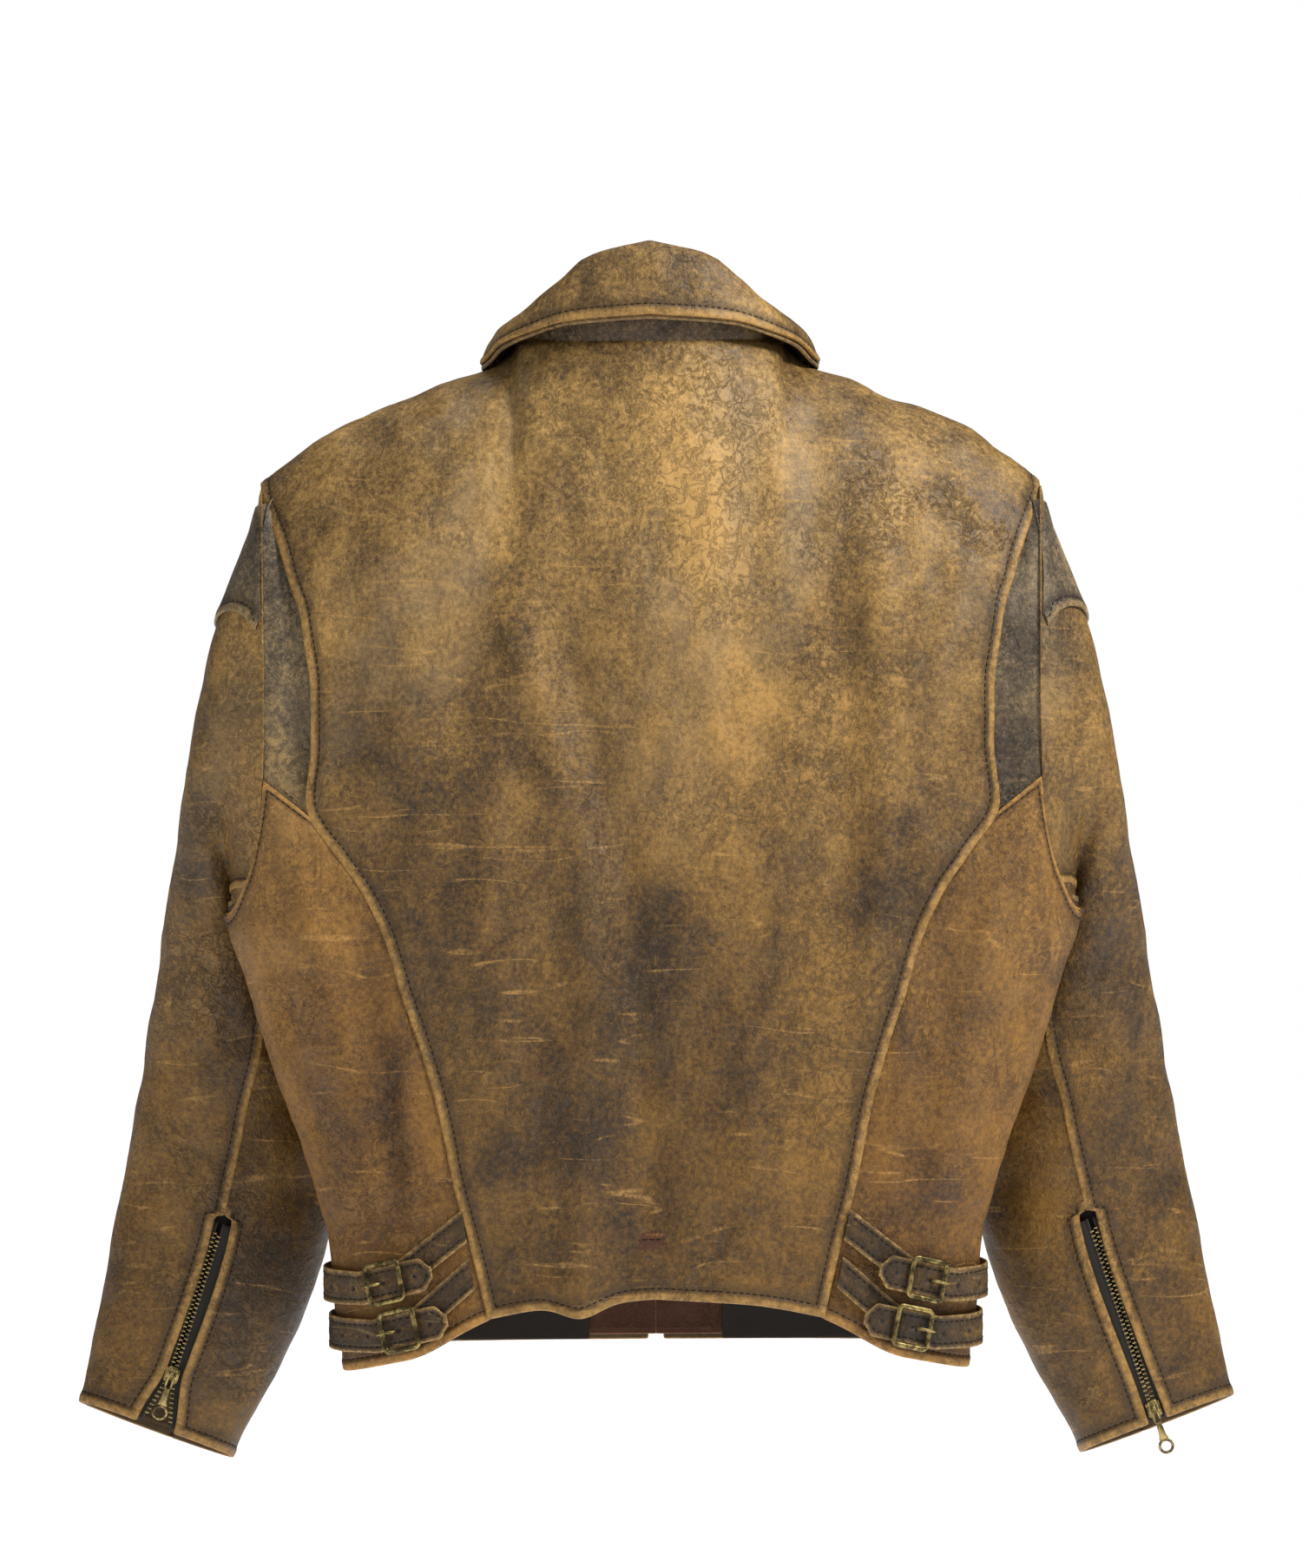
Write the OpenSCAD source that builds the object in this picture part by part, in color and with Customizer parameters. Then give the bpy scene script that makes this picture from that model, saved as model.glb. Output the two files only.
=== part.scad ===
// Leather riding jacket hanging from its neck loop, front zip closed.
// Millimetres, +Z up, the wearer faces -Y and the wearer's left is +X.
// The origin is the bearing point of the hanger loop inside the back neck.

/* [Leather] */
// Thickness of the shell leather
leather_t = 1.3; // [0.9:0.1:2]
// Thickness of the body and sleeve linings
lining_t = 0.8; // [0.5:0.1:1.5]
// How far the lining lies below the outer surface
lining_depth = 9.5; // [8.5:0.5:14]
// Gap between two neighbouring panels
seam_gap = 0.6; // [0.4:0.1:1.2]
// Height of the leather facing inside the hem
facing_h = 38; // [20:1:60]

/* [Body] */
// Middle of the body, front to back
mid_y = -34; // [-50:1:-20]
// Squareness of the body's cross-section
body_n = 2.3; // [2:0.1:2.8]
// Depth of the back behind the middle
back_depth = 58; // [50:1:70]
// Depth of the front at the neck
front_depth_top = 92; // [80:1:110]
// Depth of the front at the hem
front_depth_hem = 127; // [100:1:140]
// Front to back place of the shoulder ridge
ridge_y = -62; // [-70:1:-50]
// How far below the ridge the back reaches its full depth
back_roll = 150; // [90:5:200]
// How far below the ridge the front reaches its full depth
front_roll = 115; // [80:5:180]
// Half the width of the neck opening
neck_a = 84; // [70:1:95]
// Half the depth of the neck opening
neck_b = 66; // [55:1:75]
// How far the back panel reaches over the shoulder ridge
over_ridge = 13; // [6:1:25]
// How deep the action gusset lies below the back panel
gusset_depth = 3.2; // [2.5:0.1:6]

/* [Collar] */
// Half-width of the collar's roll line
roll_a = 97; // [88:1:110]
// Half-depth of the collar's roll line
roll_b = 68; // [66:1:76]
// Half-width of the collar's outer edge
edge_a = 107; // [100:1:125]
// Half-depth of the collar's outer edge
edge_b = 79; // [74:1:95]
// Angle round the neck at which the collar ends in front
collar_end = -76; // [-85:1:-60]

/* [Zips] */
// Width of one zip tape
tape_w = 6; // [5:0.5:8]
// Thickness of the zip tape
tape_t = 0.6; // [0.4:0.1:1]
// How far the zip lies below the leather
zip_depth = 2.6; // [2:0.1:4]
// Spacing of the teeth along one side
tooth_pitch = 6; // [3:0.5:8]
// Height of one tooth
tooth_h = 2.4; // [1.5:0.1:3]
// Reach of a tooth from the middle of the zip
tooth_reach = 3.4; // [3:0.1:4.5]
// Gap between the two rows, where the slider's post runs
tooth_gap = 1.6; // [1.2:0.1:2]
// Half-gap between the leather edges beside a zip
zip_lip = 6; // [5:0.5:9]
// Length of the front zip
front_zip_l = 510; // [450:5:540]
// Rest height of the left cuff slider above the hem
left_cuff_rest = 34; // [6:1:110]
// Rest height of the right cuff slider above the hem
right_cuff_rest = 7; // [6:1:110]
// Length of the zip pulls
pull_l = 30; // [20:1:45]

/* [Straps] */
// Width of the waist straps
strap_w = 20; // [16:1:26]
// Thickness of the waist straps
strap_t = 1.6; // [1.2:0.1:2.4]
// Tilt of the buckles
buckle_tilt = 12; // [0:1:20]
// Distance of the buckle's outer bars from its pin
buckle_reach = 11.2; // [9:0.2:15]
// Radius of the buckle's bars
bar_r = 1.5; // [1:0.1:2.5]
// Radius of the buckle's pin
pin_r = 1.2; // [0.9:0.1:1.6]
// Running clearance round the pin
pin_clear = 0.1; // [0.05:0.01:0.1]
// Height of the pin above the leather
pin_lift = 4.8; // [4:0.1:7]
// Length of the strap's tail past the pin
tail_l = 31; // [24:1:40]

/* [Loop] */
// Radius of the hanger loop's arch
loop_r = 18; // [12:1:25]
// Radius of the hanger loop's cord
loop_cord_r = 1.6; // [1:0.1:2.5]

/* [Hidden] */
round_fn = 48;
half_w_tab = [[-650, 197], [-604, 203], [-562, 207], [-532, 215], [-491, 227], [-446, 243],
              [-400, 256], [-363, 268], [-330, 267], [-285, 262], [-60, 262]];
back_w_tab = [[-615, 105], [-567, 116], [-524, 127], [-483, 135], [-440, 147], [-408, 158],
              [-375, 168], [-345, 182], [-319, 200], [-295, 217], [-289, 219], [-250, 215],
              [-217, 215], [-185, 219], [-170, 221], [-147, 228], [-120, 236], [-96, 246]];
front_w_tab = [[-640, 148], [-560, 152], [-480, 165], [-400, 190], [-340, 214], [-300, 228],
               [-260, 234], [-224, 236], [-180, 237], [-140, 240], [-96, 246]];
ridge_tab = [[0, 1], [60, 2], [80, 3], [88, -4], [100, -13], [125, -20], [145, -29],
             [173, -40], [201, -52], [227, -69], [248, -88], [262, -104]];
front_neck_tab = [[0, -86], [20, -84], [40, -74], [60, -54], [75, -30], [84, -6], [88, -4]];
back_hem_tab = [[0, -600], [60, -604], [115, -614]];
side_hem_tab = [[0, -633], [0.2, -640], [0.5, -645], [0.8, -638], [1, -613]];
side_top_tab = [[0, -304], [0.15, -328], [0.3, -352], [0.45, -368], [0.58, -368],
                [0.72, -352], [0.84, -327], [0.93, -302], [1, -299]];
front_hem_z = -630;
armhole_x_tab = [[0, 248], [45, 247], [90, 246], [120, 248], [135, 252], [150, 259], [180, 271]];
// Sleeve rings from the armhole to the cuff: outer end, inner end, half-depth vector.
sleeve_tab = [
    [0.00, [248, -48, -90, 272, -42, -358, 0, 46, 0]],
    [0.10, [265, -50, -135, 270, -68, -366, 0, 48, 8]],
    [0.22, [281, -56, -200, 260, -98, -378, 5, 49, 16]],
    [0.35, [295, -68, -282, 243, -126, -403, 8, 49, 20]],
    [0.48, [307, -92, -350, 222, -138, -436, 6, 48, 17]],
    [0.60, [318, -116, -412, 208, -142, -474, 4, 47, 12]],
    [0.70, [330, -132, -478, 205, -144, -520, 2, 46, 6]],
    [0.80, [341, -142, -537, 211, -146, -574, 0, 44, 2]],
    [1.00, [367.5, -151, -668, 270, -151, -704, 0, 34, 3]]];
sleeve_steps = [1, 0.93, 0.86, 0.8, 0.79, 0.72, 0.65, 0.58, 0.5, 0.42, 0.34, 0.26, 0.18, 0.1, 0.04, 0];
gusset_out_tab = [[-300, 250], [-260, 245], [-180, 243], [-120, 245], [-100, 246]];
rear_seam_tab = [[0, 150], [0.3, 135], [0.5, 118], [0.6, 108], [0.7, 97], [0.8, 91], [1, 90]];
front_seam_a = -100;
cuff_zip_top = 0.8;
roll_z_tab = [[-80, -66], [-60, -50], [-30, -24], [-10, -10], [0, -6], [14, 8], [37, 22],
              [55, 41], [66, 56], [90, 65]];
edge_z_tab = [[-80, -134], [-60, -104], [-45, -74], [-30, -28], [-20, -17], [-10, -11], [0, -9.5],
              [11, -8], [28, 2], [44, 9], [61, 16], [90, 20]];
buckle_x = [167, 158];
buckle_z = [-590, -620];
anchor_seam = [[-55, 24], [-50, 25]];
anchor_drop = [5.8, 5.4];
strap_end_z = [-588, -618];
slot_half = 1.6;
crest_rise = 13;
crest_a = 88;
crest_b = 66;
stand_a = neck_a - 4;
stand_b = neck_b - 4;
stand_drop = 8;
over_front = 15;
ridge_drop = 3.2;
cap_lift = leather_t + 0.6;
cap_half = 64;
sleeve_lining_depth = 9;
lining_top = 0.45;
lining_low = 0.96;
front_facing_depth = 6.6;
facing_w = 42;
hem_facing_depth = 4;
hem_gap_a = 86;
hem_low_back = [[0, -600], [60, -604], [115, -614], [150, -628], [177, -638], [200, -642]];
hem_low_front = [[0, -628], [150, -630], [180, -636], [200, -642]];
pad_x = [208, 112];
pad_reach = 78;
pad_depth = 3.2;
pad_t = 4.6;
loop_leg = 5;
teeth_start = 5;
tooth_t = 2;
plate_y = 1.4;
plate_t = 1.1;
slider_w = 8.6;
slider_h = 11;
post_w = 0.9;
lug_x = 2.6;
pivot_y = plate_y + plate_t + 2.2;
pivot_r = 0.8;
pull_eye_r = 2;
pull_eye_w = 3.6;
pull_plate_w = 4.4;
pull_ring_r = 5;
pull_ring_w = 1.8;
pull_t = 1.6;
bar_y = 7.2;
rail_z = strap_w / 2 + 2.2;
lug_r = 2;
lug_w = 2.4;
prong_r = 2.4;
prong_side = [[-1.8, 1], [2, 0.8], [4, 8.95], [13.4, 8.95], [13.8, 9.6], [13, 10.5], [2.6, 10.5]];
anchor_r = 2.6;
anchor_t = 2.4;
anchor_half = strap_w / 2 - 0.4;
strap_top = 4.6;
strap_local = [18, 12, 4.6, -7.2, -13, -19, -25, -tail_l];
strap_half = [1, 1, 1, 1, 1, 1, 0.92, 0.3];

function lerp(a, b, t) = a + (b - a) * t;
function unit(v) = v / norm(v);
function spow(v, e) = sign(v) * pow(abs(v), e);
function smooth(v, a, b) = let(t = min(1, max(0, (v - a) / (b - a)))) t * t * (3 - 2 * t);
function column(tab, k) = [for (row = tab) [row[0], row[1][k]]];
function clampi(i, n) = min(max(i, 0), n - 1);

// ---- surfaces ----
function half_w(z) = lookup(z, half_w_tab);
function front_depth(z) = lerp(front_depth_top, front_depth_hem, min(1, max(0, (-60 - z) / 560)));
function section(x, z) = pow(max(0, 1 - pow(abs(x) / half_w(z), body_n)), 1 / body_n);
function roll(d, reach, p) = let(u = min(1, max(0, d / reach))) pow(1 - pow(1 - u, p), 1 / p);
function neck_reach(x) = abs(x) < neck_a ? neck_b * sqrt(1 - pow(x / neck_a, 2)) : 0;
function ridge_z(x) = lookup(abs(x), ridge_tab);
function front_top_z(x) = abs(x) < 88 ? lookup(abs(x), front_neck_tab) : ridge_z(x);
function back_y(x, z) = let(top = ridge_y + neck_reach(x), full = mid_y + back_depth * section(x, z))
    top + (full - top) * roll(ridge_z(x) - z, back_roll, lerp(1.35, 2, smooth(abs(x), 40, 110)));
function front_y(x, z) = let(top = ridge_y - neck_reach(x), full = mid_y - front_depth(z) * section(x, z))
    top + (full - top) * roll(front_top_z(x) - z, front_roll, lerp(1.3, 2, smooth(abs(x), 40, 110)));
function body_pt(a, z) = [half_w(z) * spow(cos(a), 2 / body_n),
    mid_y + (sin(a) > 0 ? back_depth : front_depth(z)) * spow(sin(a), 2 / body_n), z];
function angle_at(x, z) = acos(min(1, pow(x / half_w(z), body_n / 2)));

// ---- grids: columns turn from the wearer's left over the back, rows go up ----
function grid_normal(g, r, c, wrap) =
    let(rows = len(g), cols = len(g[0]),
        c1 = wrap ? (c + 1) % cols : clampi(c + 1, cols),
        c0 = wrap ? (c + cols - 1) % cols : clampi(c - 1, cols))
    unit(cross(g[r][c1] - g[r][c0], g[clampi(r + 1, rows)][c] - g[clampi(r - 1, rows)][c]));
function offset_grid(g, d, wrap = false) =
    [for (r = [0:len(g) - 1]) [for (c = [0:len(g[0]) - 1]) g[r][c] + d * grid_normal(g, r, c, wrap)]];

function edge_w(f, tab, low, w, n = 12) =
    n == 0 ? w : edge_w(f, tab, low, (w + lookup(lerp(low, ridge_z(w), f), tab)) / 2, n - 1);
function back_width(f, wider) = let(w = edge_w(f, back_w_tab, -613, 200), z = lerp(-613, ridge_z(w), f))
    w - seam_gap / 2 + wider * smooth(z, -300, -280) * (1 - smooth(z, -120, -95));
function back_row(f, cols, wider) = let(w = back_width(f, wider))
    [for (c = [0:cols]) let(x = lerp(w, -w, c / cols), hem = lookup(abs(x), back_hem_tab),
        z = lerp(hem, ridge_z(x), f)) [x, back_y(x, z), z]];
function back_steps(rows, top) = [for (r = [0:rows]) top * (1 - pow(1 - r / rows, 1.5))];
function back_lip(row) = [for (p = row) let(s = smooth(abs(p[0]), neck_a, 110))
    p + [0, -1 - over_ridge * s, 1.5 - 4 * s]];
function back_grid(rows, cols, top = 1, wider = 0) =
    [for (f = back_steps(rows, top)) back_row(f, cols, wider)];

function front_width(f) = edge_w(f, front_w_tab, front_hem_z, 230) - seam_gap / 2;
function front_top(x) = let(s = smooth(x, 80, 112))
    [x, ridge_y - neck_reach(x) - over_front * s, front_top_z(x) - ridge_drop * s];
function front_row(f, cols, inner) = let(w = front_width(f))
    [for (c = [0:cols]) let(x = lerp(inner, w, c / cols), top = front_top(x),
            z = lerp(front_hem_z, top[2], f))
        f == 1 ? top : [x, min(front_y(x, z), top[1]), z]];
function front_grid(rows, cols, inner, top = 1) =
    [for (f = back_steps(rows, top)) front_row(f, cols, inner)];

function side_top(c) = lookup(c, side_top_tab);
function side_edge(tab, z, gap) = angle_at(lookup(z, tab) + gap, z);
function side_row(f, cols) = let(zb = lerp(-613, side_top(1), f), zf = lerp(-633, side_top(0), f),
        ab = side_edge(back_w_tab, zb, seam_gap / 2), af = -side_edge(front_w_tab, zf, seam_gap))
    [for (c = [0:cols]) let(t = c / cols, hem = lookup(t, side_hem_tab))
        body_pt(lerp(af, ab, t), lerp(hem, side_top(t), f))];
function side_grid(rows, cols, top = 1) = [for (r = [0:rows]) side_row(top * r / rows, cols)];

function ring_pt(t, a) = let(v = [for (k = [0:8]) lookup(t, column(sleeve_tab, k))],
        outer = [v[0], v[1], v[2]], inner = [v[3], v[4], v[5]], deep = [v[6], v[7], v[8]],
        p = (outer + inner) / 2 + (outer - inner) / 2 * cos(a) + deep * sin(a),
        turn = abs(a > 180 ? a - 360 : a), near = pow(max(0, 1 - t / 0.22), 2))
    p + [near * (lookup(turn, armhole_x_tab) - p[0]), 0, 0];
function seam_gap_a(t) = t >= cuff_zip_top ? zip_lip / lerp(1.16, 0.91, (t - cuff_zip_top) * 5) : 0.3;
function rear_seam(t, side) = lookup(t, rear_seam_tab) + side * seam_gap_a(t);
function sleeve_row(t, a0, a1, cols) = [for (c = [0:cols]) ring_pt(t, lerp(a0, a1, c / cols))];
function upper_grid(cols) = [for (t = sleeve_steps) sleeve_row(t, front_seam_a, rear_seam(t, -1), cols)];
function under_grid(cols) =
    [for (t = sleeve_steps) sleeve_row(t, rear_seam(t, 1), front_seam_a + 359.4, cols)];

function neck_low(a) = let(x = neck_a * cos(a)) a > 0 ? ridge_z(x) : front_top_z(x);
function crest_z(a) = max(lookup(a, roll_z_tab) + 1, neck_low(a) + crest_rise);
function around(ra, rb, a, z) = [ra * cos(a), ridge_y + rb * sin(a), z];
// A point of the collar: s is 1 on its outer edge, 0 on the roll line and -1 on the edge sewn to the stand.
function collar_pt(a, s) = let(
        top = around(roll_a, roll_b, a, lookup(a, roll_z_tab)),
        edge = around(edge_a, edge_b, a, lookup(a, edge_z_tab)),
        crest = around(crest_a, crest_b, a, crest_z(a)),
        seam = around(stand_a, stand_b, a, crest_z(a) - stand_drop),
        swell = [3.5 * cos(a), 3.5 * sin(a), 2])
    s < -0.45 ? lerp(crest, seam, (-s - 0.45) / 0.55)
    : s < 0 ? lerp(top, crest, -s / 0.45)
    : lerp(top, edge, s) + swell * sin(180 * pow(s, 0.6));
function collar_grid(steps, a0, cols) = [for (s = steps) [for (c = [0:cols])
    let(t = lerp(a0, 180 - a0, c / cols), p = collar_pt(t > 90 ? 180 - t : t, s))
    [t > 90 ? -p[0] : p[0], p[1], p[2]]]];

// ---- closed thin solid on a grid; hole leaves out cells [row0, row1, col0, col1] ----
module sheet(g, t, wrap = false, hole = [0, 0, 0, 0]) {
    rows = len(g);
    cols = len(g[0]);
    inner = offset_grid(g, -t, wrap);
    points = [for (layer = [g, inner]) for (row = layer) for (p = row) p];
    last = wrap ? cols - 1 : cols - 2;
    function at(k, r, c) = (k * rows + r) * cols + c % cols;
    function inside(r, c) = r >= 0 && r < rows - 1 && (wrap || (c >= 0 && c <= last))
        && !(r >= hole[0] && r < hole[1] && c >= hole[2] && c < hole[3]);
    faces = [for (r = [0:rows - 2]) for (c = [0:last]) if (inside(r, c))
        let(a0 = at(0, r, c), b0 = at(0, r, c + 1), c0 = at(0, r + 1, c + 1), d0 = at(0, r + 1, c),
            a1 = at(1, r, c), b1 = at(1, r, c + 1), c1 = at(1, r + 1, c + 1), d1 = at(1, r + 1, c))
        each concat(
            [[a0, d0, c0], [a0, c0, b0], [a1, b1, c1], [a1, c1, d1]],
            inside(r - 1, c) ? [] : [[a0, b0, b1], [a0, b1, a1]],
            inside(r + 1, c) ? [] : [[d0, d1, c1], [d0, c1, c0]],
            inside(r, c - 1) ? [] : [[a0, a1, d1], [a0, d1, d0]],
            inside(r, c + 1) ? [] : [[b0, c0, c1], [b0, c1, b1]])];
    polyhedron(points = points, faces = faces, convexity = 6);
}

module mirrored(side) {
    mirror([side < 0 ? 1 : 0, 0, 0]) children();
}

// ---- shell ----
module back_panel_shape() {
    g = back_grid(20, 26);
    sheet(concat(g, [back_lip(g[20])]), leather_t);
}
module front_panel_shape() {
    sheet(front_grid(18, 13, zip_lip), leather_t);
}
module side_panel_shape() {
    sheet(side_grid(11, 10), leather_t);
}
module gusset_shape() {
    rows = 10;
    g = [for (r = [0:rows])
        let(z = lerp(-293, -104, r / rows), x0 = lookup(z, gusset_out_tab), x1 = lookup(z, back_w_tab) - 13)
        [for (c = [0:4]) let(x = lerp(x0, x1, c / 4)) [x, back_y(x, z), z]]];
    sheet(offset_grid(g, -gusset_depth), leather_t);
}
module cap_shape() {
    cols = 12;
    g = [for (r = [0:4]) [for (c = [0:cols])
        let(a = lerp(-cap_half, cap_half, c / cols), hem = 0.03 + 0.14 * (1 - pow(a / (cap_half + 2), 2)))
        ring_pt(lerp(hem, 0.004, r / 4), a)]];
    sheet(offset_grid(g, cap_lift), leather_t);
}
module upper_sleeve_shape() {
    sheet(upper_grid(12), leather_t);
}
module under_sleeve_shape() {
    sheet(under_grid(12), leather_t);
}

// ---- collar ----
module collar_stand_shape() {
    cols = 30;
    g = [for (s = [0:3]) [for (c = [0:cols])
        let(t = lerp(collar_end + 4, 176 - collar_end, c / cols), u = t > 90 ? 180 - t : t, k = s / 3,
            z = lerp(neck_low(u) + 2.5, crest_z(u) - stand_drop - 3, k),
            p = around(neck_a - 1 - 2 * k, neck_b - 1 - 2 * k, u, z))
        [t > 90 ? -p[0] : p[0], p[1], p[2]]]];
    sheet(g, leather_t);
}
module top_collar_shape() {
    sheet(collar_grid([1, 0.8, 0.55, 0.3, 0.12, 0, -0.25, -0.45, -1], collar_end, 36), leather_t);
}
module under_collar_shape() {
    g = collar_grid([1.02, 0.8, 0.55, 0.3, 0.16], collar_end, 36);
    sheet(offset_grid(g, -leather_t - 0.4), leather_t);
}

// ---- inside ----
module body_lining_shape() {
    sheet(offset_grid(back_grid(9, 14, 0.94, 22), -lining_depth), lining_t);
    for (side = [-1, 1]) {
        mirrored(side) {
            sheet(offset_grid(side_grid(6, 6, 0.97), -lining_depth), lining_t);
            sheet(offset_grid(front_grid(8, 6, 44, 0.93), -lining_depth), lining_t);
        }
    }
}
module sleeve_lining_shape() {
    cols = 19;
    g = [for (t = sleeve_steps) if (t > lining_top && t < lining_low)
        [for (c = [0:cols]) ring_pt(t, front_seam_a + 360 * c / (cols + 1))]];
    sheet(offset_grid(g, -sleeve_lining_depth, true), lining_t, wrap = true);
}
module front_facing_shape() {
    g = [for (r = [0:8]) let(z = lerp(front_hem_z + 3, -112, r / 8))
        [for (c = [0:3]) let(x = lerp(0.6, facing_w, c / 3)) [x, front_y(x, z), z]]];
    sheet(offset_grid(g, -front_facing_depth), leather_t);
}
module hem_facing_shape() {
    cols = 40;
    g = [for (r = [0:2]) [for (c = [0:cols])
        let(a = lerp(-hem_gap_a, 180 + hem_gap_a, c / cols), x = abs(body_pt(a, -600)[0]),
            low = lookup(x, sin(a) > 0 ? hem_low_back : hem_low_front))
        body_pt(a, low + 2 + facing_h * r / 2)]];
    sheet(offset_grid(g, -hem_facing_depth), leather_t);
}
module shoulder_pad_shape() {
    g = [for (c = [0:6]) let(x = lerp(pad_x[0], pad_x[1], c / 6)) [for (k = [-4:4])
        let(s = k / 4.4, z = ridge_z(x) - pad_reach * s * s) [x, s > 0 ? back_y(x, z) : front_y(x, z), z]]];
    sheet(offset_grid(g, -pad_depth), pad_t);
}
module hanger_loop_shape() {
    translate([0, 0, -loop_r]) rotate([90, 0, 0]) rotate_extrude(angle = 180, $fn = round_fn)
        translate([loop_r, 0]) circle(loop_cord_r, $fn = round_fn);
    for (side = [-1, 1]) {
        translate([side * loop_r, 0, -loop_r - loop_leg])
            cylinder(r = loop_cord_r, h = loop_leg + 0.01, $fn = round_fn);
    }
}

// ---- zips, in their own frame: Z along the zip, Y out of the leather ----
module zip_tapes(length) {
    for (side = [-1, 1]) {
        translate([side * (tooth_reach + 0.05 + tape_w / 2), 0, length / 2])
            cube([tape_w, tape_t, length], center = true);
    }
}
module zip_teeth(length) {
    count = floor((length - 8) / tooth_pitch);
    tooth = tooth_reach - tooth_gap / 2;
    for (side = [-1, 1], i = [0:count - 1]) {
        translate([side * (tooth_gap + tooth) / 2, 0,
                   teeth_start + tooth_h / 2 + (i + (side > 0 ? 0.5 : 0)) * tooth_pitch])
            cube([tooth, tooth_t, tooth_h], center = true);
    }
}
module zip_slider() {
    for (side = [-1, 1]) {
        translate([0, side * (plate_y + plate_t / 2), 0]) cube([slider_w, plate_t, slider_h], center = true);
        translate([side * lug_x, pivot_y - 0.8, 0]) cube([1, 3, 3.2], center = true);
    }
    cube([post_w, 2 * plate_y + 0.4, 3], center = true);
    translate([0, pivot_y, 0]) rotate([0, 90, 0])
        cylinder(r = pivot_r, h = 2 * lug_x + 0.2, center = true, $fn = round_fn);
}
module zip_pull() {
    ring_at = [0, 0, pull_ring_r - pull_l];
    difference() {
        union() {
            rotate([0, 90, 0]) cylinder(r = pull_eye_r, h = pull_eye_w, center = true, $fn = round_fn);
            translate(ring_at / 2) cube([pull_eye_w, pull_t, -ring_at[2] + 0.01], center = true);
            translate([0, 0, -pull_l * 0.45]) cube([pull_plate_w, pull_t, pull_l * 0.3], center = true);
            translate(ring_at) rotate([90, 0, 0])
                cylinder(r = pull_ring_r, h = pull_ring_w, center = true, $fn = round_fn);
        }
        rotate([0, 90, 0]) cylinder(r = pivot_r + pin_clear, h = 8, center = true, $fn = round_fn);
        translate(ring_at) rotate([90, 0, 0])
            cylinder(r = pull_ring_r - pull_ring_w, h = 8, center = true, $fn = round_fn);
    }
}
front_low = [0, front_y(0, -612), -612];
front_dir = unit([0, front_y(0, -140), -140] - front_low);
front_out = cross([1, 0, 0], front_dir);
cuff_low = ring_pt(1, 90);
cuff_dir = unit(ring_pt(cuff_zip_top, 90) - cuff_low);
cuff_out = unit(cross(cuff_dir, ring_pt(0.9, 86) - ring_pt(0.9, 94)));
cuff_l = norm(ring_pt(cuff_zip_top, 90) - cuff_low) - 2;
module on_frame(p, x, y, z) {
    multmatrix([[x[0], y[0], z[0], p[0]],
                [x[1], y[1], z[1], p[1]],
                [x[2], y[2], z[2], p[2]],
                [0, 0, 0, 1]]) children();
}
module at_front_zip(along) {
    on_frame(front_low + front_dir * along - front_out * zip_depth, [-1, 0, 0], front_out, front_dir)
        children();
}
module at_cuff_zip(along) {
    on_frame(cuff_low + cuff_dir * along - cuff_out * zip_depth,
            cross(cuff_out, cuff_dir), cuff_out, cuff_dir)
        children();
}

// ---- buckles, in their own frame: X along the strap to the side, Y out of the leather ----
function buckle_slope(k) = (back_y(buckle_x[k] + 1, buckle_z[k]) - back_y(buckle_x[k] - 1, buckle_z[k])) / 2;
function buckle_out(k) = unit([-buckle_slope(k), 1, 0]);
function buckle_across(k) = unit([1, buckle_slope(k), 0]);
function buckle_dir(k) = buckle_across(k) * cos(buckle_tilt) - [0, 0, 1] * sin(buckle_tilt);
function buckle_up(k) = buckle_across(k) * sin(buckle_tilt) + [0, 0, 1] * cos(buckle_tilt);
function buckle_at(k) =
    [buckle_x[k], back_y(buckle_x[k], buckle_z[k]), buckle_z[k]] + buckle_out(k) * pin_lift;
module at_buckle(k) {
    on_frame(buckle_at(k), buckle_dir(k), buckle_out(k), buckle_up(k)) children();
}
module buckle_frame() {
    for (side = [-1, 1]) {
        translate([side * buckle_reach, bar_y, 0])
            cylinder(r = bar_r, h = 2 * rail_z, center = true, $fn = round_fn);
        translate([0, bar_y, side * rail_z]) rotate([0, 90, 0])
            cylinder(r = bar_r, h = 2 * buckle_reach, center = true, $fn = round_fn);
        for (end = [-1, 1]) {
            translate([end * buckle_reach, bar_y, side * rail_z]) sphere(bar_r, $fn = round_fn);
        }
        translate([0, bar_y / 2, side * rail_z]) cube([lug_w, bar_y, lug_w], center = true);
        translate([0, 0, side * rail_z]) cylinder(r = lug_r, h = lug_w, center = true, $fn = round_fn);
    }
    cylinder(r = pin_r, h = 2 * rail_z, center = true, $fn = round_fn);
}
module buckle_prong() {
    difference() {
        union() {
            cylinder(r = prong_r, h = 2.6, center = true, $fn = round_fn);
            linear_extrude(prong_r, center = true) polygon(prong_side);
        }
        cylinder(r = pin_r + pin_clear, h = 6, center = true, $fn = round_fn);
    }
}
module anchor_strap(k) {
    end = anchor_seam[k];
    side = [[-0.4, anchor_half], [-5, anchor_half], end + [0, anchor_half], end - [0, anchor_half],
            [-5, -anchor_half], [-0.4, -anchor_half]];
    difference() {
        union() {
            cylinder(r = anchor_r, h = strap_w, center = true, $fn = round_fn);
            rotate([0, 0, anchor_drop[k]]) translate([0, -anchor_t / 2, 0]) rotate([90, 0, 0])
                linear_extrude(anchor_t, center = true) polygon(side);
        }
        cylinder(r = pin_r + pin_clear, h = 2 * strap_w, center = true, $fn = round_fn);
        translate([-3, 0, 0]) cube([14, 12, 2 * slot_half + 1.2], center = true);
    }
}
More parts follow.
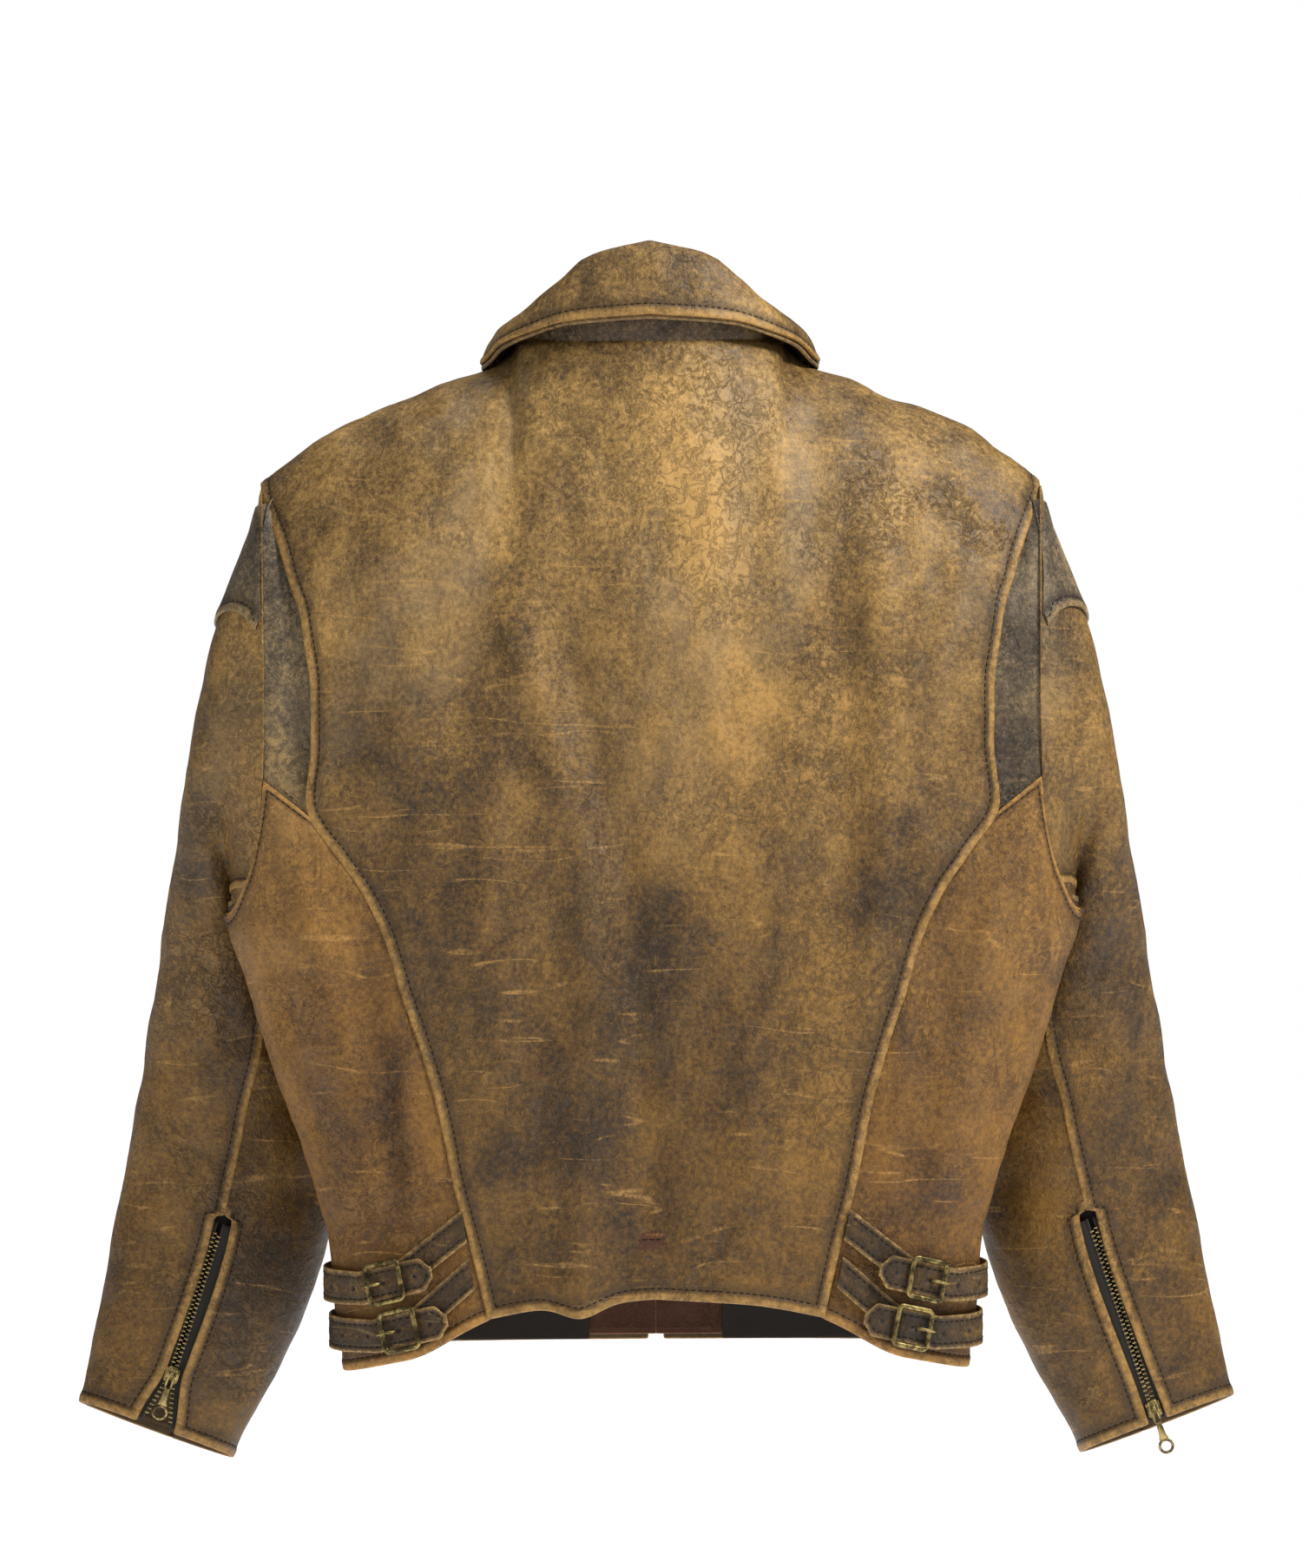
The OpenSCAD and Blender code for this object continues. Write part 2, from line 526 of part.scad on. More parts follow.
// The strap from the front seam to the buckle: [point, width direction, half-width].
function strap_side(k) =
    let(start = buckle_at(k) + buckle_dir(k) * strap_local[0] + buckle_out(k) * strap_top)
    [for (j = [0:8])
        let(a = lerp(-50, 19, j / 8), p = body_pt(a, lerp(strap_end_z[k], start[2], smooth(a, -20, 30))),
            out = unit(cross(body_pt(a + 1, p[2]) - p, [0, 0, 1])), lift = lerp(3.2, 7.4, smooth(a, -10, 30)))
        [p + out * (lift + strap_t), [0, 0, 1], strap_w / 2]];
function strap_tail(k) = [for (i = [0:len(strap_local) - 1])
    [buckle_at(k) + buckle_dir(k) * strap_local[i] + buckle_out(k) * strap_top,
     buckle_up(k), strap_w / 2 * strap_half[i]]];
module waist_strap(k) {
    path = concat(strap_side(k), strap_tail(k));
    g = [for (r = [-1:2]) [for (q = path)
        q[0] + q[1] * (r == -1 ? -q[2] : r == 2 ? q[2] : (r * 2 - 1) * slot_half)]];
    sheet(g, strap_t, hole = [1, 2, 11, 12]);
}

// ---- one module per sub-part ----
module back_panel() { color("#6f5535") back_panel_shape(); }
module left_front_panel() { color("#6b5130") front_panel_shape(); }
module right_front_panel() { color("#6b5130") mirrored(-1) front_panel_shape(); }
module left_side_panel() { color("#8a6636") side_panel_shape(); }
module right_side_panel() { color("#8a6636") mirrored(-1) side_panel_shape(); }
module left_action_gusset() { color("#42382a") gusset_shape(); }
module right_action_gusset() { color("#42382a") mirrored(-1) gusset_shape(); }
module left_shoulder_cap() { color("#4a3e2a") cap_shape(); }
module right_shoulder_cap() { color("#4a3e2a") mirrored(-1) cap_shape(); }
module left_upper_sleeve() { color("#6a5130") upper_sleeve_shape(); }
module right_upper_sleeve() { color("#6a5130") mirrored(-1) upper_sleeve_shape(); }
module left_under_sleeve() { color("#6f5331") under_sleeve_shape(); }
module right_under_sleeve() { color("#6f5331") mirrored(-1) under_sleeve_shape(); }
module collar_stand() { color("#4a3b2b") collar_stand_shape(); }
module top_collar() { color("#6a4f30") top_collar_shape(); }
module under_collar() { color("#5a4530") under_collar_shape(); }
module body_lining() { color("#141312") body_lining_shape(); }
module left_sleeve_lining() { color("#141312") sleeve_lining_shape(); }
module right_sleeve_lining() { color("#141312") mirrored(-1) sleeve_lining_shape(); }
module left_front_facing() { color("#5a3820") front_facing_shape(); }
module right_front_facing() { color("#5a3820") mirrored(-1) front_facing_shape(); }
module hem_facing() { color("#5a3820") hem_facing_shape(); }
module left_shoulder_pad() { color("#2a2a2a") shoulder_pad_shape(); }
module right_shoulder_pad() { color("#2a2a2a") mirrored(-1) shoulder_pad_shape(); }
module hanger_loop() { color("#1e1c1a") hanger_loop_shape(); }
module front_zip_tapes() { color("#1e1c16") at_front_zip(0) zip_tapes(front_zip_l); }
module front_zip_teeth() { color("#5b4d33") at_front_zip(0) zip_teeth(front_zip_l); }
module front_zip_slider() { color("#5b4d33") at_front_zip(front_zip_l - 12) zip_slider(); }
module front_zip_pull() {
    color("#5b4d33") at_front_zip(front_zip_l - 12) translate([0, pivot_y, 0]) zip_pull();
}
module left_cuff_zip_tapes() { color("#1e1c16") at_cuff_zip(0) zip_tapes(cuff_l); }
module left_cuff_zip_teeth() { color("#5b4d33") at_cuff_zip(0) zip_teeth(cuff_l); }
module left_cuff_slider() { color("#5b4d33") at_cuff_zip(left_cuff_rest) zip_slider(); }
module left_cuff_pull() {
    color("#5b4d33") at_cuff_zip(left_cuff_rest) translate([0, pivot_y, 0]) zip_pull();
}
module right_cuff_zip_tapes() { color("#1e1c16") mirrored(-1) at_cuff_zip(0) zip_tapes(cuff_l); }
module right_cuff_zip_teeth() { color("#5b4d33") mirrored(-1) at_cuff_zip(0) zip_teeth(cuff_l); }
module right_cuff_slider() { color("#5b4d33") mirrored(-1) at_cuff_zip(right_cuff_rest) zip_slider(); }
module right_cuff_pull() {
    color("#5b4d33") mirrored(-1) at_cuff_zip(right_cuff_rest) translate([0, pivot_y, 0]) zip_pull();
}
module left_upper_buckle() { color("#4b4227") at_buckle(0) buckle_frame(); }
module left_lower_buckle() { color("#4b4227") at_buckle(1) buckle_frame(); }
module right_upper_buckle() { color("#4b4227") mirrored(-1) at_buckle(0) buckle_frame(); }
module right_lower_buckle() { color("#4b4227") mirrored(-1) at_buckle(1) buckle_frame(); }
module left_upper_prong() { color("#4b4227") at_buckle(0) buckle_prong(); }
module left_lower_prong() { color("#4b4227") at_buckle(1) buckle_prong(); }
module right_upper_prong() { color("#4b4227") mirrored(-1) at_buckle(0) buckle_prong(); }
module right_lower_prong() { color("#4b4227") mirrored(-1) at_buckle(1) buckle_prong(); }
module left_upper_anchor() { color("#6a4f2e") at_buckle(0) anchor_strap(0); }
module left_lower_anchor() { color("#6a4f2e") at_buckle(1) anchor_strap(1); }
module right_upper_anchor() { color("#6a4f2e") mirrored(-1) at_buckle(0) anchor_strap(0); }
module right_lower_anchor() { color("#6a4f2e") mirrored(-1) at_buckle(1) anchor_strap(1); }
module left_upper_strap() { color("#6f5331") waist_strap(0); }
module left_lower_strap() { color("#6f5331") waist_strap(1); }
module right_upper_strap() { color("#6f5331") mirrored(-1) waist_strap(0); }
module right_lower_strap() { color("#6f5331") mirrored(-1) waist_strap(1); }

back_panel();
left_front_panel();
right_front_panel();
left_side_panel();
right_side_panel();
left_action_gusset();
right_action_gusset();
left_shoulder_cap();
right_shoulder_cap();
left_upper_sleeve();
right_upper_sleeve();
left_under_sleeve();
right_under_sleeve();
collar_stand();
top_collar();
under_collar();
body_lining();
left_sleeve_lining();
right_sleeve_lining();
left_front_facing();
right_front_facing();
hem_facing();
left_shoulder_pad();
right_shoulder_pad();
hanger_loop();
front_zip_tapes();
front_zip_teeth();
front_zip_slider();
front_zip_pull();
left_cuff_zip_tapes();
left_cuff_zip_teeth();
left_cuff_slider();
left_cuff_pull();
right_cuff_zip_tapes();
right_cuff_zip_teeth();
right_cuff_slider();
right_cuff_pull();
left_upper_buckle();
left_lower_buckle();
right_upper_buckle();
right_lower_buckle();
left_upper_prong();
left_lower_prong();
right_upper_prong();
right_lower_prong();
left_upper_anchor();
left_lower_anchor();
right_upper_anchor();
right_lower_anchor();
left_upper_strap();
left_lower_strap();
right_upper_strap();
right_lower_strap();
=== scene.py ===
"""Looks of the leather riding jacket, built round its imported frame."""

import math

import bmesh
import bpy
import numpy as np
from mathutils import Matrix, Vector


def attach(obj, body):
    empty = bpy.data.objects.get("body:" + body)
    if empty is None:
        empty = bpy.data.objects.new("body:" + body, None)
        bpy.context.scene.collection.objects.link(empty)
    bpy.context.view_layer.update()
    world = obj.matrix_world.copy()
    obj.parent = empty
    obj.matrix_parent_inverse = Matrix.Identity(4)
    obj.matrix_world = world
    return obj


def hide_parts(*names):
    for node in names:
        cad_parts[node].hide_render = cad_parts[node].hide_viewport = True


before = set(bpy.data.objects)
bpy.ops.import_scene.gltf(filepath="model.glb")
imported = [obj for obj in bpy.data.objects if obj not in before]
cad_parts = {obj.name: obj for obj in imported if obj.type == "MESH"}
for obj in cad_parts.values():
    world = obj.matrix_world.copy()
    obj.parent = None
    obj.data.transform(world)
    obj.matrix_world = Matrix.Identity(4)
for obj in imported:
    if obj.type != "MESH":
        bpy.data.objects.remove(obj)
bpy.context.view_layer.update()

# ---------------------------------------------------------------- sizes, in millimetres
MM = 0.001
LEATHER = 1.3
MID_Y, BODY_N, BACK_DEPTH = -34.0, 2.3, 58.0
FRONT_DEPTH = (92.0, 127.0)
RIDGE_Y, NECK_A, NECK_B = -62.0, 84.0, 66.0
BACK_ROLL, FRONT_ROLL = 150.0, 115.0
ROLL_A, ROLL_B, EDGE_A, EDGE_B = 97.0, 68.0, 107.0, 79.0
COLLAR_END = -76.0
ZIP_DEPTH, ZIP_LIP = 2.6, 6.0
LINING_DEPTH = 9.5
PIN_LIFT, BUCKLE_TILT, BUCKLE_REACH, BAR_Y, RAIL_Z = 4.8, 12.0, 11.2, 7.2, 12.2
STITCH_IN = 5.8
SLEEVE_LINING_DEPTH, FACING_DEPTH, PAD_DEPTH, HEM_DEPTH = 8.0, 6.6, 3.4, 4.0
LOOP_R, LOOP_LEG, STRAND_R, STRAND_OUT, STRAND_TURN = 18, 5, 0.95, 0.75, 0.7
# The floor is in metres.
FLOOR_Z, FLOOR_HALF = -0.86, 20
HALF_W = [(-650, 197), (-604, 203), (-562, 207), (-532, 215), (-491, 227), (-446, 243),
          (-400, 256), (-363, 268), (-330, 267), (-285, 262), (-60, 262)]
BACK_W = [(-615, 105), (-567, 116), (-524, 127), (-483, 135), (-440, 147), (-408, 158),
          (-375, 168), (-345, 182), (-319, 200), (-295, 217), (-289, 218.5), (-250, 215),
          (-217, 215), (-185, 219), (-170, 221), (-147, 228), (-120, 236), (-96, 246)]
FRONT_W = [(-640, 148), (-560, 152), (-480, 165), (-400, 190), (-340, 214), (-300, 228),
           (-260, 234), (-224, 236), (-180, 237), (-140, 240), (-96, 246)]
RIDGE = [(0, 1), (60, 2), (80, 3), (88, -4), (100, -13), (125, -20), (145, -29),
         (173, -40), (201, -52), (227, -69), (248, -88), (262, -104)]
FRONT_NECK = [(0, -86), (20, -84), (40, -74), (60, -54), (75, -30), (84, -6), (88, -4)]
BACK_HEM = [(0, -600), (60, -604), (115, -614)]
SIDE_HEM = [(0, -633), (0.2, -640), (0.5, -645), (0.8, -638), (1, -613)]
FRONT_HEM_Z = -630.0
ARMHOLE_X = [(0, 248), (45, 247), (90, 246), (120, 248), (135, 252), (150, 259), (180, 271)]
SLEEVE = [
    (0.00, (248, -48, -90, 272, -42, -358, 0, 46, 0)),
    (0.10, (265, -50, -135, 270, -68, -366, 0, 48, 8)),
    (0.22, (281, -56, -200, 260, -98, -378, 5, 49, 16)),
    (0.35, (295, -68, -282, 243, -126, -403, 8, 49, 20)),
    (0.48, (307, -92, -350, 222, -138, -436, 6, 48, 17)),
    (0.60, (318, -116, -412, 208, -142, -474, 4, 47, 12)),
    (0.70, (330, -132, -478, 205, -144, -520, 2, 46, 6)),
    (0.80, (341, -142, -537, 211, -146, -574, 0, 44, 2)),
    (1.00, (367.5, -151, -668, 270, -151, -704, 0, 34, 3))]
REAR_SEAM = [(0, 150), (0.3, 135), (0.5, 118), (0.6, 108), (0.7, 97), (0.8, 91), (1, 90)]
FRONT_SEAM_A = -100.0
ROLL_Z = [(-80, -66), (-60, -50), (-30, -24), (-10, -10), (0, -6), (14, 8), (37, 22), (55, 41), (66, 56),
          (90, 65)]
EDGE_Z = [(-80, -134), (-60, -104), (-45, -74), (-30, -28), (-20, -17), (-10, -11), (0, -9.5), (11, -8),
          (28, 2), (44, 9), (61, 16), (90, 20)]
CREST_A, CREST_B, CREST_RISE = 88.0, 66.0, 13.0
STAND_DROP = 8.0


# ---------------------------------------------------------------- small maths
def pchip(tab, x):
    """Smooth curve through a table that never overshoots."""
    xs = np.array([t[0] for t in tab], float)
    ys = np.array([t[1] for t in tab], float)
    x = np.clip(np.asarray(x, float), xs[0], xs[-1])
    h = np.diff(xs)
    d = np.diff(ys) / h
    m = np.zeros(len(xs))
    same = d[1:] * d[:-1] > 0
    w1, w2 = 2 * h[1:] + h[:-1], h[1:] + 2 * h[:-1]
    with np.errstate(divide="ignore", invalid="ignore"):
        m[1:-1] = np.where(same, (w1 + w2) / (w1 / d[:-1] + w2 / d[1:]), 0)
    m[0], m[-1] = d[0], d[-1]
    i = np.clip(np.searchsorted(xs, x, side="right") - 1, 0, len(h) - 1)
    t = (x - xs[i]) / h[i]
    return (ys[i] * (1 + 2 * t) * (1 - t) ** 2 + m[i] * h[i] * t * (1 - t) ** 2
            + ys[i + 1] * t * t * (3 - 2 * t) + m[i + 1] * h[i] * t * t * (t - 1))


def smooth(v, a, b):
    t = np.clip((np.asarray(v, float) - a) / (b - a), 0, 1)
    return t * t * (3 - 2 * t)


def spow(v, e):
    return np.sign(v) * np.abs(v) ** e


def lerp(a, b, t):
    return a + (b - a) * t


def unit(v):
    return v / np.maximum(np.linalg.norm(v, axis=-1, keepdims=True), 1e-9)


RNG = np.random.RandomState(7)
PERM = np.concatenate([RNG.permutation(256)] * 2)
GRADS = unit(RNG.normal(size=(256, 3)))


def noise(p):
    """Gradient noise at points (..., 3), about -1 to 1."""
    cell = np.floor(p).astype(int)
    f = p - cell
    w = f * f * f * (f * (f * 6 - 15) + 10)
    total = 0
    for dx in (0, 1):
        for dy in (0, 1):
            for dz in (0, 1):
                c = (cell + (dx, dy, dz)) & 255
                g = GRADS[PERM[PERM[PERM[c[..., 0]] + c[..., 1]] + c[..., 2]]]
                k = ((w[..., 0] if dx else 1 - w[..., 0]) * (w[..., 1] if dy else 1 - w[..., 1])
                     * (w[..., 2] if dz else 1 - w[..., 2]))
                total = total + k * (g * (f - (dx, dy, dz))).sum(-1)
    return total * 1.6


# ---------------------------------------------------------------- surfaces of the jacket
def half_w(z):
    return pchip(HALF_W, z)


def front_depth(z):
    return lerp(FRONT_DEPTH[0], FRONT_DEPTH[1], np.clip((-60 - z) / 560, 0, 1))


def section(x, z):
    return np.maximum(0, 1 - (np.abs(x) / half_w(z)) ** BODY_N) ** (1 / BODY_N)


def roll(d, reach, p):
    u = np.clip(d / reach, 0, 1)
    return (1 - (1 - u) ** p) ** (1 / p)


def neck_reach(x):
    return NECK_B * np.sqrt(np.maximum(0, 1 - (np.abs(x) / NECK_A) ** 2))


def front_top_z(x):
    return np.where(np.abs(x) < 88, pchip(FRONT_NECK, np.minimum(np.abs(x), 88)), pchip(RIDGE, np.abs(x)))


def back_y(x, z):
    top = RIDGE_Y + neck_reach(x)
    full = MID_Y + BACK_DEPTH * section(x, z)
    power = lerp(1.35, 2, smooth(np.abs(x), 40, 110))
    return top + (full - top) * roll(pchip(RIDGE, np.abs(x)) - z, BACK_ROLL, power)


def front_y(x, z):
    top = RIDGE_Y - neck_reach(x)
    full = MID_Y - front_depth(z) * section(x, z)
    power = lerp(1.3, 2, smooth(np.abs(x), 40, 110))
    return top + (full - top) * roll(front_top_z(x) - z, FRONT_ROLL, power)


def body_pt(a, z):
    a = np.radians(a)
    deep = np.where(np.sin(a) > 0, BACK_DEPTH, front_depth(z))
    return np.stack([half_w(z) * spow(np.cos(a), 2 / BODY_N), MID_Y + deep * spow(np.sin(a), 2 / BODY_N),
                     z + 0 * a], -1)


def angle_at(x, z):
    return np.degrees(np.arccos(np.clip((x / half_w(z)) ** (BODY_N / 2), 0, 1)))


def edge_width(f, tab, low):
    """Half-width where the panel's side edge has gone the share f of the way from hem to shoulder."""
    w = 200.0 + 0 * f
    for _ in range(24):
        w = (w + pchip(tab, lerp(low, pchip(RIDGE, w), f))) / 2
    return w


def ring_pt(t, a):
    tab = [pchip([(r[0], r[1][k]) for r in SLEEVE], t) for k in range(9)]
    outer, inner, deep = (np.stack(tab[i:i + 3], -1) for i in (0, 3, 6))
    r = np.radians(a)[..., None]
    p = (outer + inner) / 2 + (outer - inner) / 2 * np.cos(r) + deep * np.sin(r)
    turn = np.abs(np.where(a > 180, a - 360, a))
    near = np.maximum(0, 1 - t / 0.22) ** 2
    p[..., 0] += near * (pchip(ARMHOLE_X, turn) - p[..., 0])
    return p


# ---------------------------------------------------------------- folds the leather has taken
# Each crest: points (x, z) it passes through, half-width, height.
BACK_CRESTS = [
    ([(84, -180), (66, -235), (47, -300), (38, -370), (33, -440)], 16, 3.6),
    ([(58, -190), (40, -250), (22, -320), (14, -400)], 15, -3.0),
    ([(-142, -120), (-146, -200), (-147, -300), (-138, -400)], 16, 2.4),
    ([(-118, -150), (-120, -240), (-118, -330)], 14, -2.0),
    ([(168, -120), (150, -200), (140, -290), (128, -380)], 20, 2.2),
    ([(110, -260), (104, -340), (100, -430), (92, -520)], 18, 2.4),
    ([(10, -430), (4, -510), (0, -600)], 14, -2.2),
    ([(46, -500), (46, -560), (47, -612)], 14, 2.6),
    ([(-70, -420), (-66, -500), (-62, -600)], 20, 1.6),
    ([(-20, -60), (-30, -160), (-34, -260)], 26, 1.4)]
SIDE_CRESTS = [
    ([(222, -330), (206, -400), (190, -470), (178, -540)], 13, 3.0),
    ([(246, -370), (232, -430), (214, -500)], 12, -2.6),
    ([(160, -450), (152, -510), (150, -560)], 10, 2.2)]


def crest_height(x, z, crests):
    total = 0 * x
    for points, half, high in crests:
        xs = [p[0] for p in points]
        zs = [p[1] for p in points]
        line = np.interp(-z, [-v for v in zs], xs)
        fade = smooth(-z, -zs[0] - 45, -zs[0] + 25) * (1 - smooth(-z, -zs[-1] - 25, -zs[-1] + 45))
        total = total + high * fade * np.exp(-((x - line) / half) ** 2)
    return total


def body_folds(p):
    x, y, z = p[..., 0], p[..., 1], p[..., 2]
    f = 2.4 * noise(np.stack([x / 50, y / 90, z / 240], -1) + 3)
    f += 1.9 * noise(np.stack([x / 25, y / 50, z / 100], -1) + 9)
    f += 1.1 * noise(p / 19 + 4) + 0.45 * noise(p / 8 + 1)
    back = smooth(y, -40, -10)
    f += back * 2.0 * crest_height(x, z, BACK_CRESTS)
    f += back * 2.1 * (crest_height(x, z, SIDE_CRESTS) + crest_height(-x, z, SIDE_CRESTS) * 0.8)
    f = np.maximum(f, -1.6 - 7 * smooth(z, -585, -545))
    near_zip = smooth(np.abs(x), 10, 60) + back
    near_buckle = 1 - back * smooth(-z, 520, 560) * smooth(np.abs(x), 105, 120) * 0.8
    near_collar = smooth(-z, -5, 45)
    return f * np.clip(near_zip, 0, 1) * near_buckle * np.clip(near_collar, 0.15, 1)


def sleeve_folds(p, t, a):
    x, y, z = p[..., 0], p[..., 1], p[..., 2]
    bend = np.exp(-((t - 0.62) / 0.16) ** 2)
    f = 1.6 * noise(np.stack([x / 40, y / 40, z / 120], -1) + 21)
    f += 0.8 * noise(p / 22 + 5) + 0.22 * noise(p / 8 + 6)
    inner = 0.35 + 0.65 * smooth(-np.cos(np.radians(a)), -0.4, 0.9)
    slant = z + 0.45 * x + 9 * noise(p / 40 + 2)
    f += bend * inner * 2.3 * np.sin(slant / 9.5)
    return f * smooth(t, 0.02, 0.12) * (1 - 0.85 * smooth(t, 0.74, 0.8) * np.exp(-((a - 91) / 26) ** 2))


# ---------------------------------------------------------------- meshes
PIECES = {}


def make(name, verts, faces, material, attrs=None, body="jacket", nodes=(), shade=True):
    mesh = bpy.data.meshes.new(name)
    mesh.from_pydata((np.asarray(verts, float) * MM).tolist(), [], [list(map(int, f)) for f in faces])
    mesh.update()
    for key, values in (attrs or {}).items():
        layer = mesh.attributes.new(key, "FLOAT", "POINT")
        layer.data.foreach_set("value", np.asarray(values, np.float32))
    if shade:
        mesh.polygons.foreach_set("use_smooth", [True] * len(mesh.polygons))
    mats = material if isinstance(material, (list, tuple)) else [material]
    for m in mats:
        mesh.materials.append(m)
    piece = bpy.data.objects.new(name, mesh)
    bpy.context.scene.collection.objects.link(piece)
    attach(piece, body)
    if nodes:
        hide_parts(*nodes)
    PIECES[name] = piece
    return piece


def arc(p, axis):
    d = np.linalg.norm(np.diff(p, axis=axis), axis=-1)
    zero = np.zeros_like(np.take(d, [0], axis=axis))
    return np.cumsum(np.concatenate([zero, d], axis=axis), axis=axis)


def normals(p):
    n = np.cross(np.gradient(p[..., :3], axis=1), np.gradient(p[..., :3], axis=0))
    return unit(n)


# How an edge is finished: radius of its rounding, how far it stands up, and where its stitches run.
EDGE = {"fold": (1.25, 0.9, STITCH_IN), "cut": (0.8, 0.15, 3.2),
        "raw": (0.75, 0.0, 0), "tuck": (0.6, -0.8, 0)}
OFFS = {"fold": [0, 0.7, 1.6, 2.8, 4.2, 5.1, STITCH_IN, 6.5, 7.4, 9, 12],
        "cut": [0, 0.5, 1.2, 2.4, 3.2, 4.0],
        "raw": [0, 1.2, 4], "tuck": [0, 1.2, 4]}
STITCHES = {}


def grid_faces(rows, cols, base=0, flip=False, wrap=False):
    r = np.arange(rows - 1)[:, None]
    c = np.arange(cols if wrap else cols - 1)[None, :]
    a = base + r * cols + c
    b = base + r * cols + (c + 1) % cols
    d = base + (r + 1) * cols + c
    e = base + (r + 1) * cols + (c + 1) % cols
    quads = np.stack([a, b, e, d], -1).reshape(-1, 4)
    return quads[:, ::-1] if flip else quads


def boundary(rows, cols):
    idx = [(0, c) for c in range(cols)] + [(r, cols - 1) for r in range(1, rows)]
    idx += [(rows - 1, c) for c in range(cols - 2, -1, -1)] + [(r, 0) for r in range(rows - 2, 0, -1)]
    return np.array(idx)


